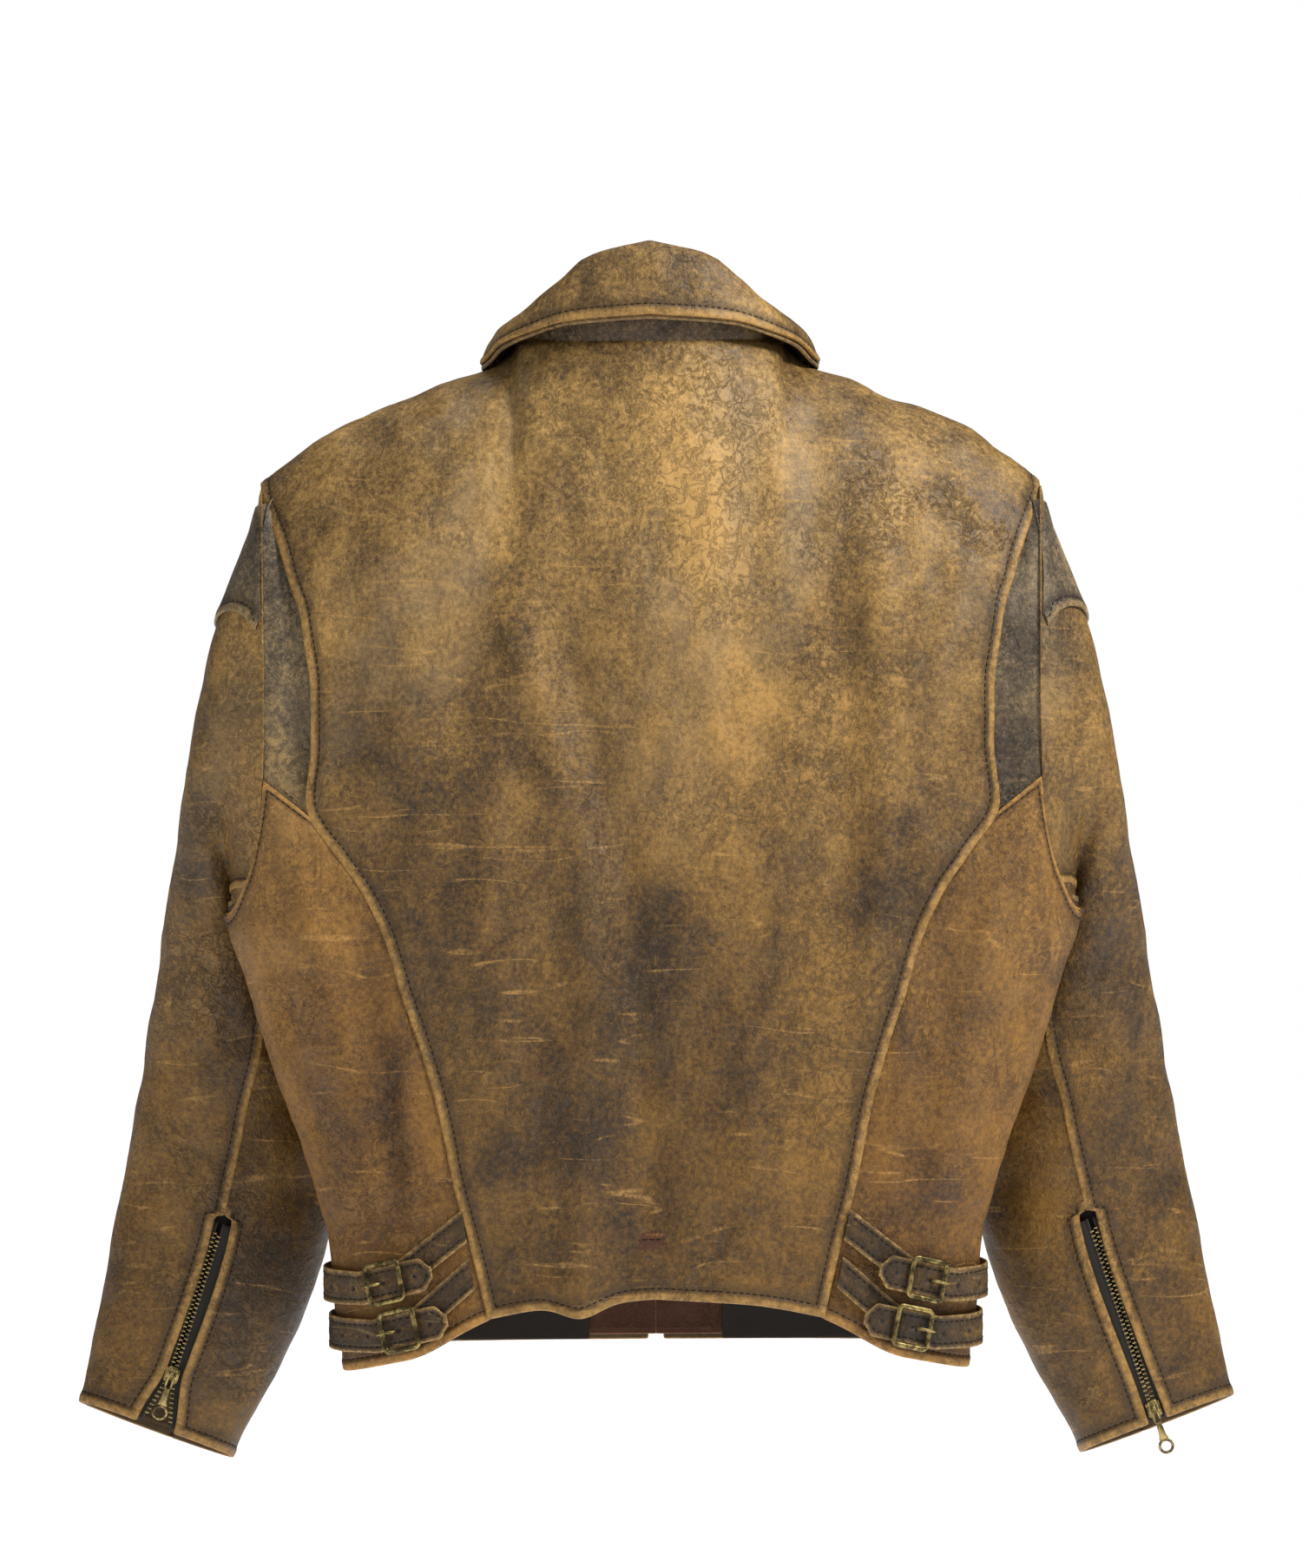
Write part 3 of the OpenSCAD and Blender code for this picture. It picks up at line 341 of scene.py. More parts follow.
def panel(name, surf, material, edges, folds=None, step=4.0, thick=LEATHER, stitches=None, mirror=False,
          fine=170, nodes=(), slot=None, body="jacket", part=None, puff=1.0, holes=(), cloth_sheet=True,
          turned=0.0):
    """A leather panel on surf(u, v). edges gives the finish of its left, right, bottom and top edge.

    part = {edge: (from, to)} keeps that edge's fold and stitches to a share of its length; holes are
    (u, v, radius) of punched holes; turned is not used.
    """
    v, u = np.meshgrid(np.linspace(0, 1, fine), np.linspace(0, 1, fine), indexing="ij")
    p = surf(u, v)
    p = np.concatenate([p, u[..., None], v[..., None]], -1)
    offs = [OFFS[e] for e in edges]
    p = resample_axis(resample_axis(p, offs[0], offs[1], step, 1), offs[2], offs[3], step, 0)
    uu, vv = p[..., 3], p[..., 4]
    p = p[..., :3]
    width, height = arc(p, 1), arc(p, 0)
    dist = [width, width[:, -1:] - width, height, height[-1:, :] - height]
    if folds is not None:
        p = p + normals(p) * folds(p, uu, vv)[..., None]
    high = np.zeros(p.shape[:2])
    near = np.full(p.shape[:2], 1e3)
    back = np.full(p.shape[:2], float(thick))
    shown = []
    for k in range(4):
        rr, rise, seam = EDGE[edges[k]]
        d = dist[k]
        along = vv if k < 2 else uu
        lo, hi = (part or {}).get(k, (-1, 2))
        on = smooth(along, lo - 0.004, lo + 0.004) * (1 - smooth(along, hi - 0.004, hi + 0.004))
        shown.append(on)
        if edges[k] == "fold":
            high += on * puff * (rise * (1 - smooth(d, 3.0, 9.0)) - 0.55 * np.exp(-((d - seam) / 0.75) ** 2))
            near = np.minimum(near, d + (1 - on) * 40)
        elif edges[k] == "cut":
            high += rise * (1 - smooth(d, 1.5, 4.0)) - 0.25 * np.exp(-((d - seam) / 0.6) ** 2)
            near = np.minimum(near, d + 2.3)
        elif edges[k] == "tuck":
            high += rise * (1 - smooth(d, 0, 5))
        back = np.maximum(back, lerp(2 * rr, thick, smooth(d, 3, 9)))
    punched = np.zeros(p.shape[:2])
    for hu, hv, radius in holes:
        far = np.hypot((uu - hu) * width[:, -1:].mean(), (vv - hv) * height[-1].mean())
        punched = np.maximum(punched, 1 - smooth(far, radius * 0.75, radius * 1.2))
        high += 0.25 * np.exp(-((far - radius * 1.6) / 0.8) ** 2)
    high -= 0.7 * punched
    nrm = normals(p)
    p = p + nrm * high[..., None]
    nrm = normals(p)
    rows, cols = p.shape[:2]
    loop = boundary(rows, cols)
    at = (loop[:, 0], loop[:, 1])
    ring, ring_n = p[at], nrm[at]
    across = unit(np.gradient(p, axis=1))[at]
    along = unit(np.gradient(p, axis=0))[at]
    out = np.zeros_like(ring)
    radius = np.zeros(len(loop))
    for k, (sel, vec) in enumerate([(loop[:, 1] == 0, -across), (loop[:, 1] == cols - 1, across),
                                    (loop[:, 0] == 0, -along), (loop[:, 0] == rows - 1, along)]):
        out += vec * sel[:, None]
        radius = np.maximum(radius, EDGE[edges[k]][0] * sel)
    out = unit(out - ring_n * (out * ring_n).sum(-1, keepdims=True))
    verts = [p.reshape(-1, 3)]
    rub = [near.reshape(-1)]
    inside = [np.zeros(rows * cols)]
    faces = [grid_faces(rows, cols)]
    last = loop[:, 0] * cols + loop[:, 1]
    count = rows * cols
    worn = np.where(near[at] < 3, 0.0, near[at])
    for turn in (30, 60, 90, 120, 150):
        s, c = math.sin(math.radians(turn)), 1 - math.cos(math.radians(turn))
        verts.append(ring + out * (radius * s)[:, None] - ring_n * (radius * c)[:, None])
        rub.append(worn)
        inside.append(np.full(len(loop), 0.0 if turn < 100 else 0.6))
        idx = count + np.arange(len(loop))
        faces.append(np.stack([last, idx, np.roll(idx, -1), np.roll(last, -1)], -1))
        last = idx
        count += len(loop)
    under = p - nrm * np.minimum(back, 2.5)[..., None]
    under[at] = ring - ring_n * (2 * radius)[:, None]
    verts.append(under.reshape(-1, 3))
    rub.append(near.reshape(-1) + 8)
    inside.append(np.ones(rows * cols))
    idx = count + loop[:, 0] * cols + loop[:, 1]
    faces.append(np.stack([last, idx, np.roll(idx, -1), np.roll(last, -1)], -1))
    faces.append(grid_faces(rows, cols, base=count, flip=True))
    verts, faces = np.concatenate(verts), np.concatenate(faces)
    flip = np.array((-1.0 if mirror else 1.0, 1, 1))
    for k in range(4):
        seam = EDGE[edges[k]][2]
        if seam and stitches:
            i = OFFS[edges[k]].index(seam)
            ends = [(2, 3), (2, 3), (0, 1), (0, 1)][k]
            i0, i1 = (max(1, len(offs[e]) // 2) for e in ends)
            middle = slice(i0, -i1)
            pick = [(middle, i), (middle, -1 - i), (i, middle), (-1 - i, middle)][k]
            keep = shown[k][pick] > 0.5
            STITCHES.setdefault(stitches, []).append((p[pick][keep] * flip, nrm[pick][keep] * flip))
    if mirror:
        verts, faces = verts * flip, faces[:, ::-1]
    # punched holes, painted near-black in the leather as the shade inside them
    hole_shade_mask = np.concatenate([punched.reshape(-1), np.zeros(len(verts) - punched.size)])
    attrs = {"near_edge": np.concatenate(rub), "inside": np.concatenate(inside), "hole": hole_shade_mask}
    piece = make(name, verts, faces, material, attrs, nodes=nodes, body=body)
    return piece


def resample_axis(p, off0, off1, step, axis):
    if axis == 0:
        return resample_axis(p.transpose(1, 0, 2), off0, off1, step, 1).transpose(1, 0, 2)
    s = arc(p[..., :3], 1)
    mean = s[:, -1].mean()
    n = max(2, int(round((mean - off0[-1] - off1[-1]) / step)))
    out = np.zeros((p.shape[0], len(off0) + len(off1) + n - 1, p.shape[2]))
    for r in range(p.shape[0]):
        length = s[r, -1]
        k = min(1.0, 0.9 * length / (off0[-1] + off1[-1]))
        lo, hi = np.array(off0) * k, np.array(off1) * k
        d = np.concatenate([lo, np.linspace(lo[-1], length - hi[-1], n + 1)[1:-1], (length - hi)[::-1]])
        for c in range(p.shape[2]):
            out[r, :, c] = np.interp(d, s[r], p[r, :, c])
    return out


def thread(path, nrm, pitch=4.3, length=3.1, radius=0.42, lift=0.05):
    """Stitches as small capsules along a line: (vertices, faces)."""
    s = np.concatenate([[0], np.cumsum(np.linalg.norm(np.diff(path, axis=0), axis=1))])
    at = np.arange(pitch / 2, s[-1] - pitch / 2, pitch)
    if not len(at):
        return np.zeros((0, 3)), np.zeros((0, 4), int)
    mid = np.stack([np.interp(at, s, path[:, k]) for k in range(3)], -1)
    ahead = np.stack([np.interp(at + 0.5, s, path[:, k]) for k in range(3)], -1)
    up = unit(np.stack([np.interp(at, s, nrm[:, k]) for k in range(3)], -1))
    fwd = unit(ahead - mid)
    side = unit(np.cross(fwd, up))
    rings = [(-0.5, 0.3, -0.25), (-0.42, 0.8, 0.0), (0.0, 1.0, 0.12), (0.42, 0.8, 0.0), (0.5, 0.3, -0.25)]
    verts = []
    for along, wide, high in rings:
        centre = mid + fwd * (along * length) + up * (lift + high)
        for k in range(6):
            ang = math.pi * k / 3
            verts.append(centre + (side * math.cos(ang) + up * math.sin(ang)) * (radius * wide))
    n = len(at)
    verts = np.stack(verts, 1).reshape(-1, 3)
    base = grid_faces(5, 6, wrap=True)
    caps = np.array([[0, 1, 2, 3], [0, 3, 4, 5], [27, 26, 25, 24], [29, 28, 27, 24]])
    faces = (np.concatenate([base, caps])[None] + (np.arange(n) * 30)[:, None, None]).reshape(-1, 4)
    return verts, faces


# ---------------------------------------------------------------- materials
class Net:
    """A material's node tree, written one node a line."""

    def __init__(self, name):
        self.mat = bpy.data.materials.new(name)
        self.mat.use_nodes = True
        self.tree = self.mat.node_tree
        self.bsdf = self.tree.nodes["Principled BSDF"]

    def put(self, socket, value):
        if isinstance(value, bpy.types.NodeSocket):
            self.tree.links.new(value, socket)
        else:
            socket.default_value = value

    def add(self, kind, out=0, props=None, **ins):
        node = self.tree.nodes.new("ShaderNode" + kind)
        for k, v in (props or {}).items():
            setattr(node, k, v)
        for k, v in ins.items():
            key = int(k[1:]) if k[0] == "_" and k[1:].isdigit() else k.replace("_", " ")
            self.put(node.inputs[key], v)
        return node.outputs[out]

    def coords(self, scale=(1, 1, 1), turn=(0, 0, 0)):
        obj = self.add("TexCoord", out=3)
        return self.add("Mapping", Vector=obj, Scale=scale, Rotation=turn)

    def noise(self, v, scale, detail=4.0, rough=0.6, warp=0.0):
        return self.add("TexNoise", Vector=v, Scale=scale, Detail=detail, Roughness=rough, Distortion=warp)

    def math(self, op, a, b=0.0, c=0.0, clamp=False):
        return self.add("Math", props={"operation": op, "use_clamp": clamp}, _0=a, _1=b, _2=c)

    def mix(self, fac, a, b, blend="MIX"):
        return self.add("Mix", out=2, props={"data_type": "RGBA", "blend_type": blend}, _0=fac, _6=a, _7=b)

    def span(self, value, lo, hi, to_lo=0.0, to_hi=1.0):
        return self.add("MapRange", props={"interpolation_type": "SMOOTHSTEP"},
                        _0=value, _1=lo, _2=hi, _3=to_lo, _4=to_hi)

    def attr(self, name):
        return self.add("Attribute", out=2, props={"attribute_name": name})

    def ramp(self, value, stops):
        out = self.add("ValToRGB", Fac=value)
        band = out.node.color_ramp
        while len(band.elements) < len(stops):
            band.elements.new(0.5)
        for e, (pos, col) in zip(band.elements, stops):
            e.position = pos
            e.color = rgb(col)
        return out

    def bump(self, height, distance, strength=1.0, normal=None):
        ins = {"Height": height, "Distance": distance, "Strength": strength}
        if normal is not None:
            ins["Normal"] = normal
        return self.add("Bump", **ins)

    def finish(self, colour, rough, normal=None, **fixed):
        self.put(self.bsdf.inputs["Base Color"], colour)
        self.put(self.bsdf.inputs["Roughness"], rough)
        if normal is not None:
            self.put(self.bsdf.inputs["Normal"], normal)
        for k, v in fixed.items():
            self.put(self.bsdf.inputs[k.replace("_", " ")], v)
        return self.mat


def rgb(code):
    v = [int(code[i:i + 2], 16) / 255 for i in (1, 3, 5)]
    return tuple(c / 12.92 if c <= 0.04045 else ((c + 0.055) / 1.055) ** 2.4 for c in v) + (1.0,)


def leather(name, dark, mid, light, tan, under, rough=0.5, edge_wear=1.0, shift=0.0, scratch=1.0):
    """Distressed leather: mottled colour, fine grain, creases, scratches, tan worn edges."""
    n = Net(name)
    v = n.coords()
    big = n.noise(v, 6.5, 3.0, 0.55, 0.4)
    med = n.noise(n.coords((1, 1, 0.75)), 34.0, 6.0, 0.7, 0.3)
    fine = n.noise(v, 300.0, 5.0, 0.75)
    speck = n.noise(v, 1100.0, 3.0, 0.7)
    soft = n.noise(n.coords((1, 1, 0.45)), 15.0, 3.0, 0.5, 0.5)
    m = n.math("MULTIPLY_ADD", med, 0.24, n.math("MULTIPLY_ADD", fine, 0.36, n.math("MULTIPLY", speck, 0.16)))
    m = n.math("MULTIPLY_ADD", big, 0.2, n.math("MULTIPLY_ADD", soft, 0.26, m))
    m = n.math("ADD", m, shift - 0.11)
    col = n.ramp(m, [(0.405, dark), (0.475, mid), (0.535, light), (0.61, tan)])
    # greyer patches, partly worn finish and partly painted sheen, strongest high up
    rubbed_and_sheen = n.span(n.noise(n.coords((1, 1, 0.4), (0.3, 0, 0)), 12.0, 4.0, 0.6, 0.6), 0.5, 0.68, 0.0, 0.42)
    sheen_high_up = n.span(n.add("SeparateXYZ", out=2, Vector=v), -0.1, -0.42, 1.0, 0.25)
    col = n.mix(n.math("MULTIPLY", rubbed_and_sheen, sheen_high_up), col, n.mix(fine, rgb("#5c4e3b"), rgb("#8b7658")))
    # painted light from above: paler and greyer at the shoulders; painted shade: darker and redder toward the
    # hem
    height_m = n.add("SeparateXYZ", out=2, Vector=v)
    col = n.mix(n.span(height_m, -0.02, -0.36), n.mix(1.0, col, (1.2, 1.27, 1.42, 1), "MULTIPLY"), col)
    col = n.mix(n.span(height_m, -0.02, -0.6), col, n.mix(1.0, col, (0.55, 0.48, 0.25, 1), "MULTIPLY"))
    # scratches: sparse hairlines, mostly level
    lines = 0.0
    scratch_sets = [(0.15, (7, 12, 60)), (-0.3, (10, 14, 90)), (1.2, (9, 14, 70)), (0.75, (12, 14, 80))]
    for k, (turn, stretch) in enumerate(scratch_sets):
        w = n.coords(stretch, (0.2 * k, turn, 0.1))
        near_half = n.math("ABSOLUTE", n.math("SUBTRACT", n.noise(w, 0.55, 2.0, 0.45), 0.5))
        gate = n.span(n.noise(w, 1.1, 2.0), 0.56, 0.64)
        lines = n.math("MAXIMUM", n.math("MULTIPLY", n.span(near_half, 0.003, 0.013, 1.0, 0.0), gate), lines)
    lines = n.math("MULTIPLY", lines, n.span(n.noise(v, 420.0, 2.0), 0.35, 0.6, 0.1, 0.6))
    col = n.mix(n.math("MULTIPLY", lines, scratch), col, rgb(tan))
    # worn edges, and painted shade: a dark band along the stitching
    near = n.attr("near_edge")
    broken = n.span(n.noise(v, 95.0, 5.0, 0.7), 0.3, 0.62, 0.35, 0.95)
    groove_shade = n.math("MULTIPLY", n.span(near, 3.2, 5.2), n.span(near, 6.6, 14.0, 1.0, 0.0))
    col = n.mix(n.math("MULTIPLY", groove_shade, 0.62), col, rgb(dark))
    worn = n.math("MULTIPLY", n.math("MULTIPLY", n.span(near, 1.2, 4.6, 1.0, 0.0), broken), edge_wear)
    col = n.mix(worn, col, n.mix(n.span(fine, 0.35, 0.65), rgb(light), rgb(tan)))
    inside = n.attr("inside")
    col = n.mix(n.span(inside, 0.5, 0.95), col, n.mix(med, rgb(under), rgb(dark)))
    # painted shade: punched holes filled in near-black
    col = n.mix(n.attr("hole"), col, rgb("#0b0907"))
    # pebbled grain, then creases gathered in patches
    bend = n.add("VectorMath", props={"operation": "SCALE"},
                 _0=n.add("TexNoise", out=1, Vector=v, Scale=160.0), Scale=0.004)
    bent = n.add("VectorMath", props={"operation": "ADD"}, _0=v, _1=bend)
    pebble = n.add("TexVoronoi", props={"feature": "SMOOTH_F1"}, Vector=bent, Scale=430.0)
    crease = n.span(n.math("ABSOLUTE", n.math("SUBTRACT", n.noise(v, 110.0, 5.0, 0.62, 0.8), 0.5)), 0.0, 0.05)
    zone = n.span(n.noise(v, 14.0, 2.0), 0.42, 0.6)
    crease = n.math("SUBTRACT", 1.0, n.math("MULTIPLY", zone, n.math("SUBTRACT", 1.0, crease)))
    # painted shade: colour darkened along the crease lines
    col = n.mix(n.math("MULTIPLY", n.math("SUBTRACT", 1.0, crease), 0.35), col, rgb(dark))
    height = n.math("MULTIPLY_ADD", pebble, 0.34, n.math("MULTIPLY", fine, 0.5))
    normal = n.bump(height, 0.0012, 0.5)
    normal = n.bump(crease, 0.0012, 0.6, normal)
    normal = n.bump(med, 0.006, 0.55, normal)
    r = n.math("MULTIPLY_ADD", m, 0.55, n.math("MULTIPLY_ADD", fine, 0.22, rough - 0.38))
    r = n.math("ADD", r, n.math("MULTIPLY", inside, 0.3), clamp=True)
    return n.finish(col, r, normal, Specular_IOR_Level=0.34)


def cloth(name, a, b, scale=900.0, rough=0.85, sheen=0.3, ribs=(1, 1, 1)):
    """Woven cloth: two crossing waves, slubs and a little sheen."""
    n = Net(name)
    v = n.coords(ribs)
    warp = n.add("TexWave", props={"bands_direction": "DIAGONAL"},
                 Vector=v, Scale=scale, Distortion=0.4, Detail=1.0)
    weft = n.add("TexWave", props={"bands_direction": "Z"},
                 Vector=v, Scale=scale * 1.1, Distortion=0.4, Detail=1.0)
    weave = n.math("MULTIPLY", n.math("ADD", warp, weft), 0.5)
    slub = n.noise(v, 130.0, 5.0)
    f = n.math("MULTIPLY_ADD", weave, 0.5, n.math("MULTIPLY", slub, 0.5))
    col = n.mix(f, rgb(a), rgb(b))
    return n.finish(col, n.math("MULTIPLY_ADD", slub, 0.2, rough - 0.1), n.bump(f, 0.0005, 0.5),
                    Sheen_Weight=sheen, Sheen_Roughness=0.5, Specular_IOR_Level=0.3)


def metal(name, dark, mid, bright, rough=0.42):
    """Antique brass: dark patina, rubbed bright on the high spots."""
    n = Net(name)
    v = n.coords()
    a = n.noise(v, 160.0, 6.0, 0.7, 0.3)
    b = n.noise(v, 900.0, 4.0, 0.7)
    worn = n.add("NewGeometry", out=7)
    f = n.math("ADD", n.span(a, 0.35, 0.68), n.span(worn, 0.5, 0.62, 0.0, 0.55), clamp=True)
    col = n.ramp(f, [(0.0, dark), (0.45, mid), (1.0, bright)])
    return n.finish(col, n.math("MULTIPLY_ADD", b, 0.35, rough - 0.16),
                    n.bump(n.math("ADD", b, a), 0.0002, 0.35), Metallic=0.92)


def thread_material(name, a, b):
    n = Net(name)
    v = n.coords()
    twist = n.add("TexWave", props={"bands_direction": "DIAGONAL"}, Vector=v, Scale=1400.0, Distortion=1.0)
    f = n.math("MULTIPLY_ADD", twist, 0.6, n.math("MULTIPLY", n.noise(v, 300.0), 0.4))
    return n.finish(n.mix(f, rgb(a), rgb(b)), 0.8, n.bump(twist, 0.0002, 0.6), Specular_IOR_Level=0.2)


BROWN = leather("brown_leather", "#33230c", "#5f451f", "#7f602f", "#a27b41", "#54422c", 0.52)
TAN = leather("tan_leather", "#40290c", "#6f4e1f", "#8c6630", "#a87c3e", "#54422c", 0.54, shift=0.005)
DARK = leather("dark_leather", "#241c12", "#443828", "#67563c", "#96794b", "#3c3122", 0.5, scratch=0.4)
STAND = leather("stand_leather", "#251a0f", "#43321f", "#5f4a2d", "#8c6c40", "#3c3122", 0.5, scratch=0.4)
STRAP = leather("strap_leather", "#241a0b", "#4d381a", "#6c5028", "#ab8a56", "#a68a5e", 0.5)
FACING = leather("facing_leather", "#3a1c09", "#5e3616", "#754723", "#8c5c32", "#40230f", 0.5, edge_wear=0.6)
LINING = cloth("lining_cloth", "#0a0806", "#241c14", 1500.0, 0.8, 0.04)
TAPE = cloth("zip_tape_cloth", "#12100d", "#2c2720", 2600.0, 0.9, 0.2)
FELT = cloth("felt_pad_cloth", "#262624", "#4a4a47", 500.0, 0.95, 0.4)
CORD = cloth("loop_cord_cloth", "#0e0d0c", "#2b2826", 1800.0, 0.9, 0.2)
THREAD = thread_material("stitch_thread", "#140d07", "#2c1f13")
BRASS = metal("buckle_brass", "#1d180e", "#4b4127", "#93804f")
ZIP_BRASS = metal("zip_brass", "#241e12", "#574a2e", "#a08c5c", 0.4)


# ---------------------------------------------------------------- shell panels
def back_surf(u, v):
    k = np.clip(v / 0.965, 0, 1)
    f = 1 - (1 - k) ** 1.7
    w = edge_width(f, BACK_W, -613.0) - 0.2
    x = lerp(w, -w, u)
    top = pchip(RIDGE, np.abs(x))
    low = pchip(BACK_HEM, np.abs(x)) - 9 * np.exp(-((x - 47) / 17) ** 2)
    z = lerp(low, top, f)
    y = back_y(x, z)
    lip = np.clip((v - 0.965) / 0.035, 0, 1)
    s = smooth(np.abs(x), NECK_A, 110)
    return np.stack([x, y - lip * (1 + 13 * s), z + lip * (1.5 - 4 * s)], -1)


def front_surf(u, v):
    f = 1 - (1 - v) ** 1.7
    w = edge_width(f, FRONT_W, FRONT_HEM_Z) - 0.2
    x = lerp(ZIP_LIP, w, u)
    top = front_top_z(x) - 3.4 * smooth(x, 80, 112)
    z = lerp(FRONT_HEM_Z, top, f)
    return np.stack([x, np.minimum(front_y(x, z), RIDGE_Y - neck_reach(x)), z], -1)


def side_top(u):
    """The side panel's top edge: from the front seam round the armhole's foot to the back seam."""
    ring = ring_pt(np.zeros(60), np.linspace(238, 112, 60)) - (1.2, 0, 0)
    front = body_pt(-angle_at(228.3, -300), np.array(-300.0))
    back = body_pt(angle_at(217.6, -297), np.array(-297.0))
    line = np.concatenate([[front], ring, [back]])
    s = np.concatenate([[0], np.cumsum(np.linalg.norm(np.diff(line, axis=0), axis=1))])
    return np.stack([np.interp(u * s[-1], s, line[:, k]) for k in range(3)], -1)


def side_surf(u, v):
    top = side_top(u)
    zb, zf = lerp(-613.0, -297.0, v), lerp(-633.0, -300.0, v)
    ab = angle_at(pchip(BACK_W, zb) + 0.2, zb)
    af = -angle_at(pchip(FRONT_W, zf) + 0.2, zf)
    hem = pchip(SIDE_HEM, u)
    p = body_pt(lerp(af, ab, u), lerp(hem, top[..., 2], v))
    end_b, end_f = angle_at(217.8, -297.0), -angle_at(228.2, -300.0)
    last = body_pt(lerp(end_f, end_b, u), top[..., 2])
    return p + (top - last) * (smooth(v, 0.5, 1.0) ** 1.3)[..., None]


def flange_surf(u, v):
    """The narrow stitched band that edges the armhole's foot, above the side panel."""
    p = side_top(lerp(0.3, 0.985, u))
    inward = np.stack([0.22 + 0 * v, 0.5 + 0 * v, 0 * v], -1)
    return p + np.stack([-1.0 * v, -1.2 - 2.2 * v, lerp(-3.0, 7.5, v)], -1) - inward


def gusset_surf(u, v):
    z = lerp(-304.0, -98.0, v)
    x = pchip(BACK_W, z) - 11
    inner = np.stack([x, back_y(x, z) - 3.6, z], -1)
    a = np.degrees(np.arccos(np.clip((lerp(-284.0, -98.0, v) + 224) / 134, -1, 1)))
    outer = ring_pt(0 * a, a) - np.stack([1.5 + 0 * a, 1.5 + 0 * a, 0 * a], -1)
    p = lerp(outer, inner, u[..., None])
    p[..., 1] -= 3.0 * np.sin(np.pi * u) * smooth(v, 0, 0.2)
    return p


def front_armhole_surf(u, v):
    """The strip of the front panel that turns in to the armhole seam."""
    z = lerp(-303.0, -100.0, v)
    x = pchip(FRONT_W, z) - 8
    inner = np.stack([x, front_y(x, z) + 3.2, z], -1)
    a = -np.degrees(np.arccos(np.clip((z + 224) / 134, -1, 1)))
    outer = ring_pt(0 * a, a) + np.stack([0 * a, 1.2 + 0 * a, 0 * a], -1)
    return lerp(inner, outer, u[..., None])


def gusset_folds(p, u, v):
    long_way = np.stack([p[..., 0] / 13, p[..., 1] / 20, p[..., 2] / 70], -1)
    return 1.5 * noise(long_way + 30) + 0.4 * noise(p / 9)


def cap_surf(u, v):
    a = lerp(-66.0, 66.0, u)
    hem = 0.02 + 0.155 * (1 - (a / 68) ** 2)
    p = ring_pt(lerp(hem, 0.003, v), a)
    p = p + normals(p) * 2.0
    p[..., 0] -= 11.0 * smooth(v, 0.86, 1.0) * np.exp(-(a / 30) ** 2)
    return p


def seam_gap(t, side, opened):
    wide = np.where(t >= 0.794, ZIP_LIP + 0.6 + opened * smooth(t, 0.945, 1.0), 0.3)
    return side * wide / lerp(1.16, 0.91, np.clip((t - 0.8) * 5, 0, 1))


def sleeve_surf(which, opened):
    def surf(u, v):
        t = 1 - v ** 1.15
        if which == "upper":
            a = lerp(FRONT_SEAM_A + 0 * t, pchip(REAR_SEAM, t) + seam_gap(t, -1, opened), u)
        else:
            a = lerp(pchip(REAR_SEAM, t) + seam_gap(t, 1, opened), FRONT_SEAM_A + 359.5 + 0 * t, u)
        p = ring_pt(t, a)
        return p
    return surf


def sleeve_fold_fn(which):
    def folds(p, u, v):
        t = 1 - v ** 1.15
        rear = pchip(REAR_SEAM, t)
        a = lerp(FRONT_SEAM_A + 0 * t, rear, u) if which == "upper" else lerp(rear, FRONT_SEAM_A + 360, u)
        return sleeve_folds(p, t, a)
    return folds


def shell_folds(p, u, v):
    return body_folds(p)


def side_folds(p, u, v):
    return body_folds(p) * (1 - 0.9 * smooth(v, 0.7, 0.97))


def neck_low(a):
    x = NECK_A * np.cos(np.radians(a))
    return np.where(a > 0, pchip(RIDGE, np.abs(x)), front_top_z(x))


def around(ra, rb, a, z):
    return np.stack([ra * np.cos(np.radians(a)), RIDGE_Y + rb * np.sin(np.radians(a)), z], -1)


def collar_surf(u, v, inset=0.0, reach=1.0):
    t = lerp(COLLAR_END, 180 - COLLAR_END, u)
    a = np.where(t > 90, 180 - t, t)
    s = np.where(v < 0.72, reach * (1 - v / 0.72), -(v - 0.72) / 0.28)
    c, sn = np.cos(np.radians(a)), np.sin(np.radians(a))
    out = np.stack([c, sn, 0 * a], -1)
    top = around(ROLL_A, ROLL_B, a, pchip(ROLL_Z, a))
    edge = around(EDGE_A, EDGE_B, a, pchip(EDGE_Z, a))
    crest_z = np.maximum(pchip(ROLL_Z, a) + 1, neck_low(a) + CREST_RISE)
    crest = around(CREST_A, CREST_B, a, crest_z)
    seam = around(NECK_A - 4, NECK_B - 4, a, crest_z - STAND_DROP)
    up = np.array([0, 0, 1.0])
    sp = np.maximum(s, 0)
    swell = np.sin(np.pi * np.minimum(sp, 1) ** 0.6)[..., None]
    outer = lerp(top, edge, sp[..., None]) + (out * 3.5 + up * 2) * swell
    k = -s[..., None]
    inner = np.where(k > 0.45, lerp(crest, seam, (k - 0.45) / 0.55), lerp(top, crest, k / 0.45))
    p = np.where(k > 0, inner, outer)
    p[..., 0] *= np.where(t > 90, -1, 1)
    if inset:
        p = p - normals(p) * inset
    return p


def collar_folds(p, u, v):
    height = 1.0 * noise(p / 26 + 40) + 0.4 * noise(p / 11 + 2)
    return height * smooth(v, 0.0, 0.1) * (1 - smooth(v, 0.7, 0.85))


def stand_surf(u, v):
    t = lerp(COLLAR_END + 4, 176 - COLLAR_END, u)
    a = np.where(t > 90, 180 - t, t)
    low = neck_low(a)
    high = np.maximum(pchip(ROLL_Z, a) + 1, low + CREST_RISE) - STAND_DROP - 0.5
    p = around(NECK_A - 1 - 2 * v, NECK_B - 1 - 2 * v, a, lerp(low + 1.2, high, v))
    p[..., 0] *= np.where(t > 90, -1, 1)
    return p


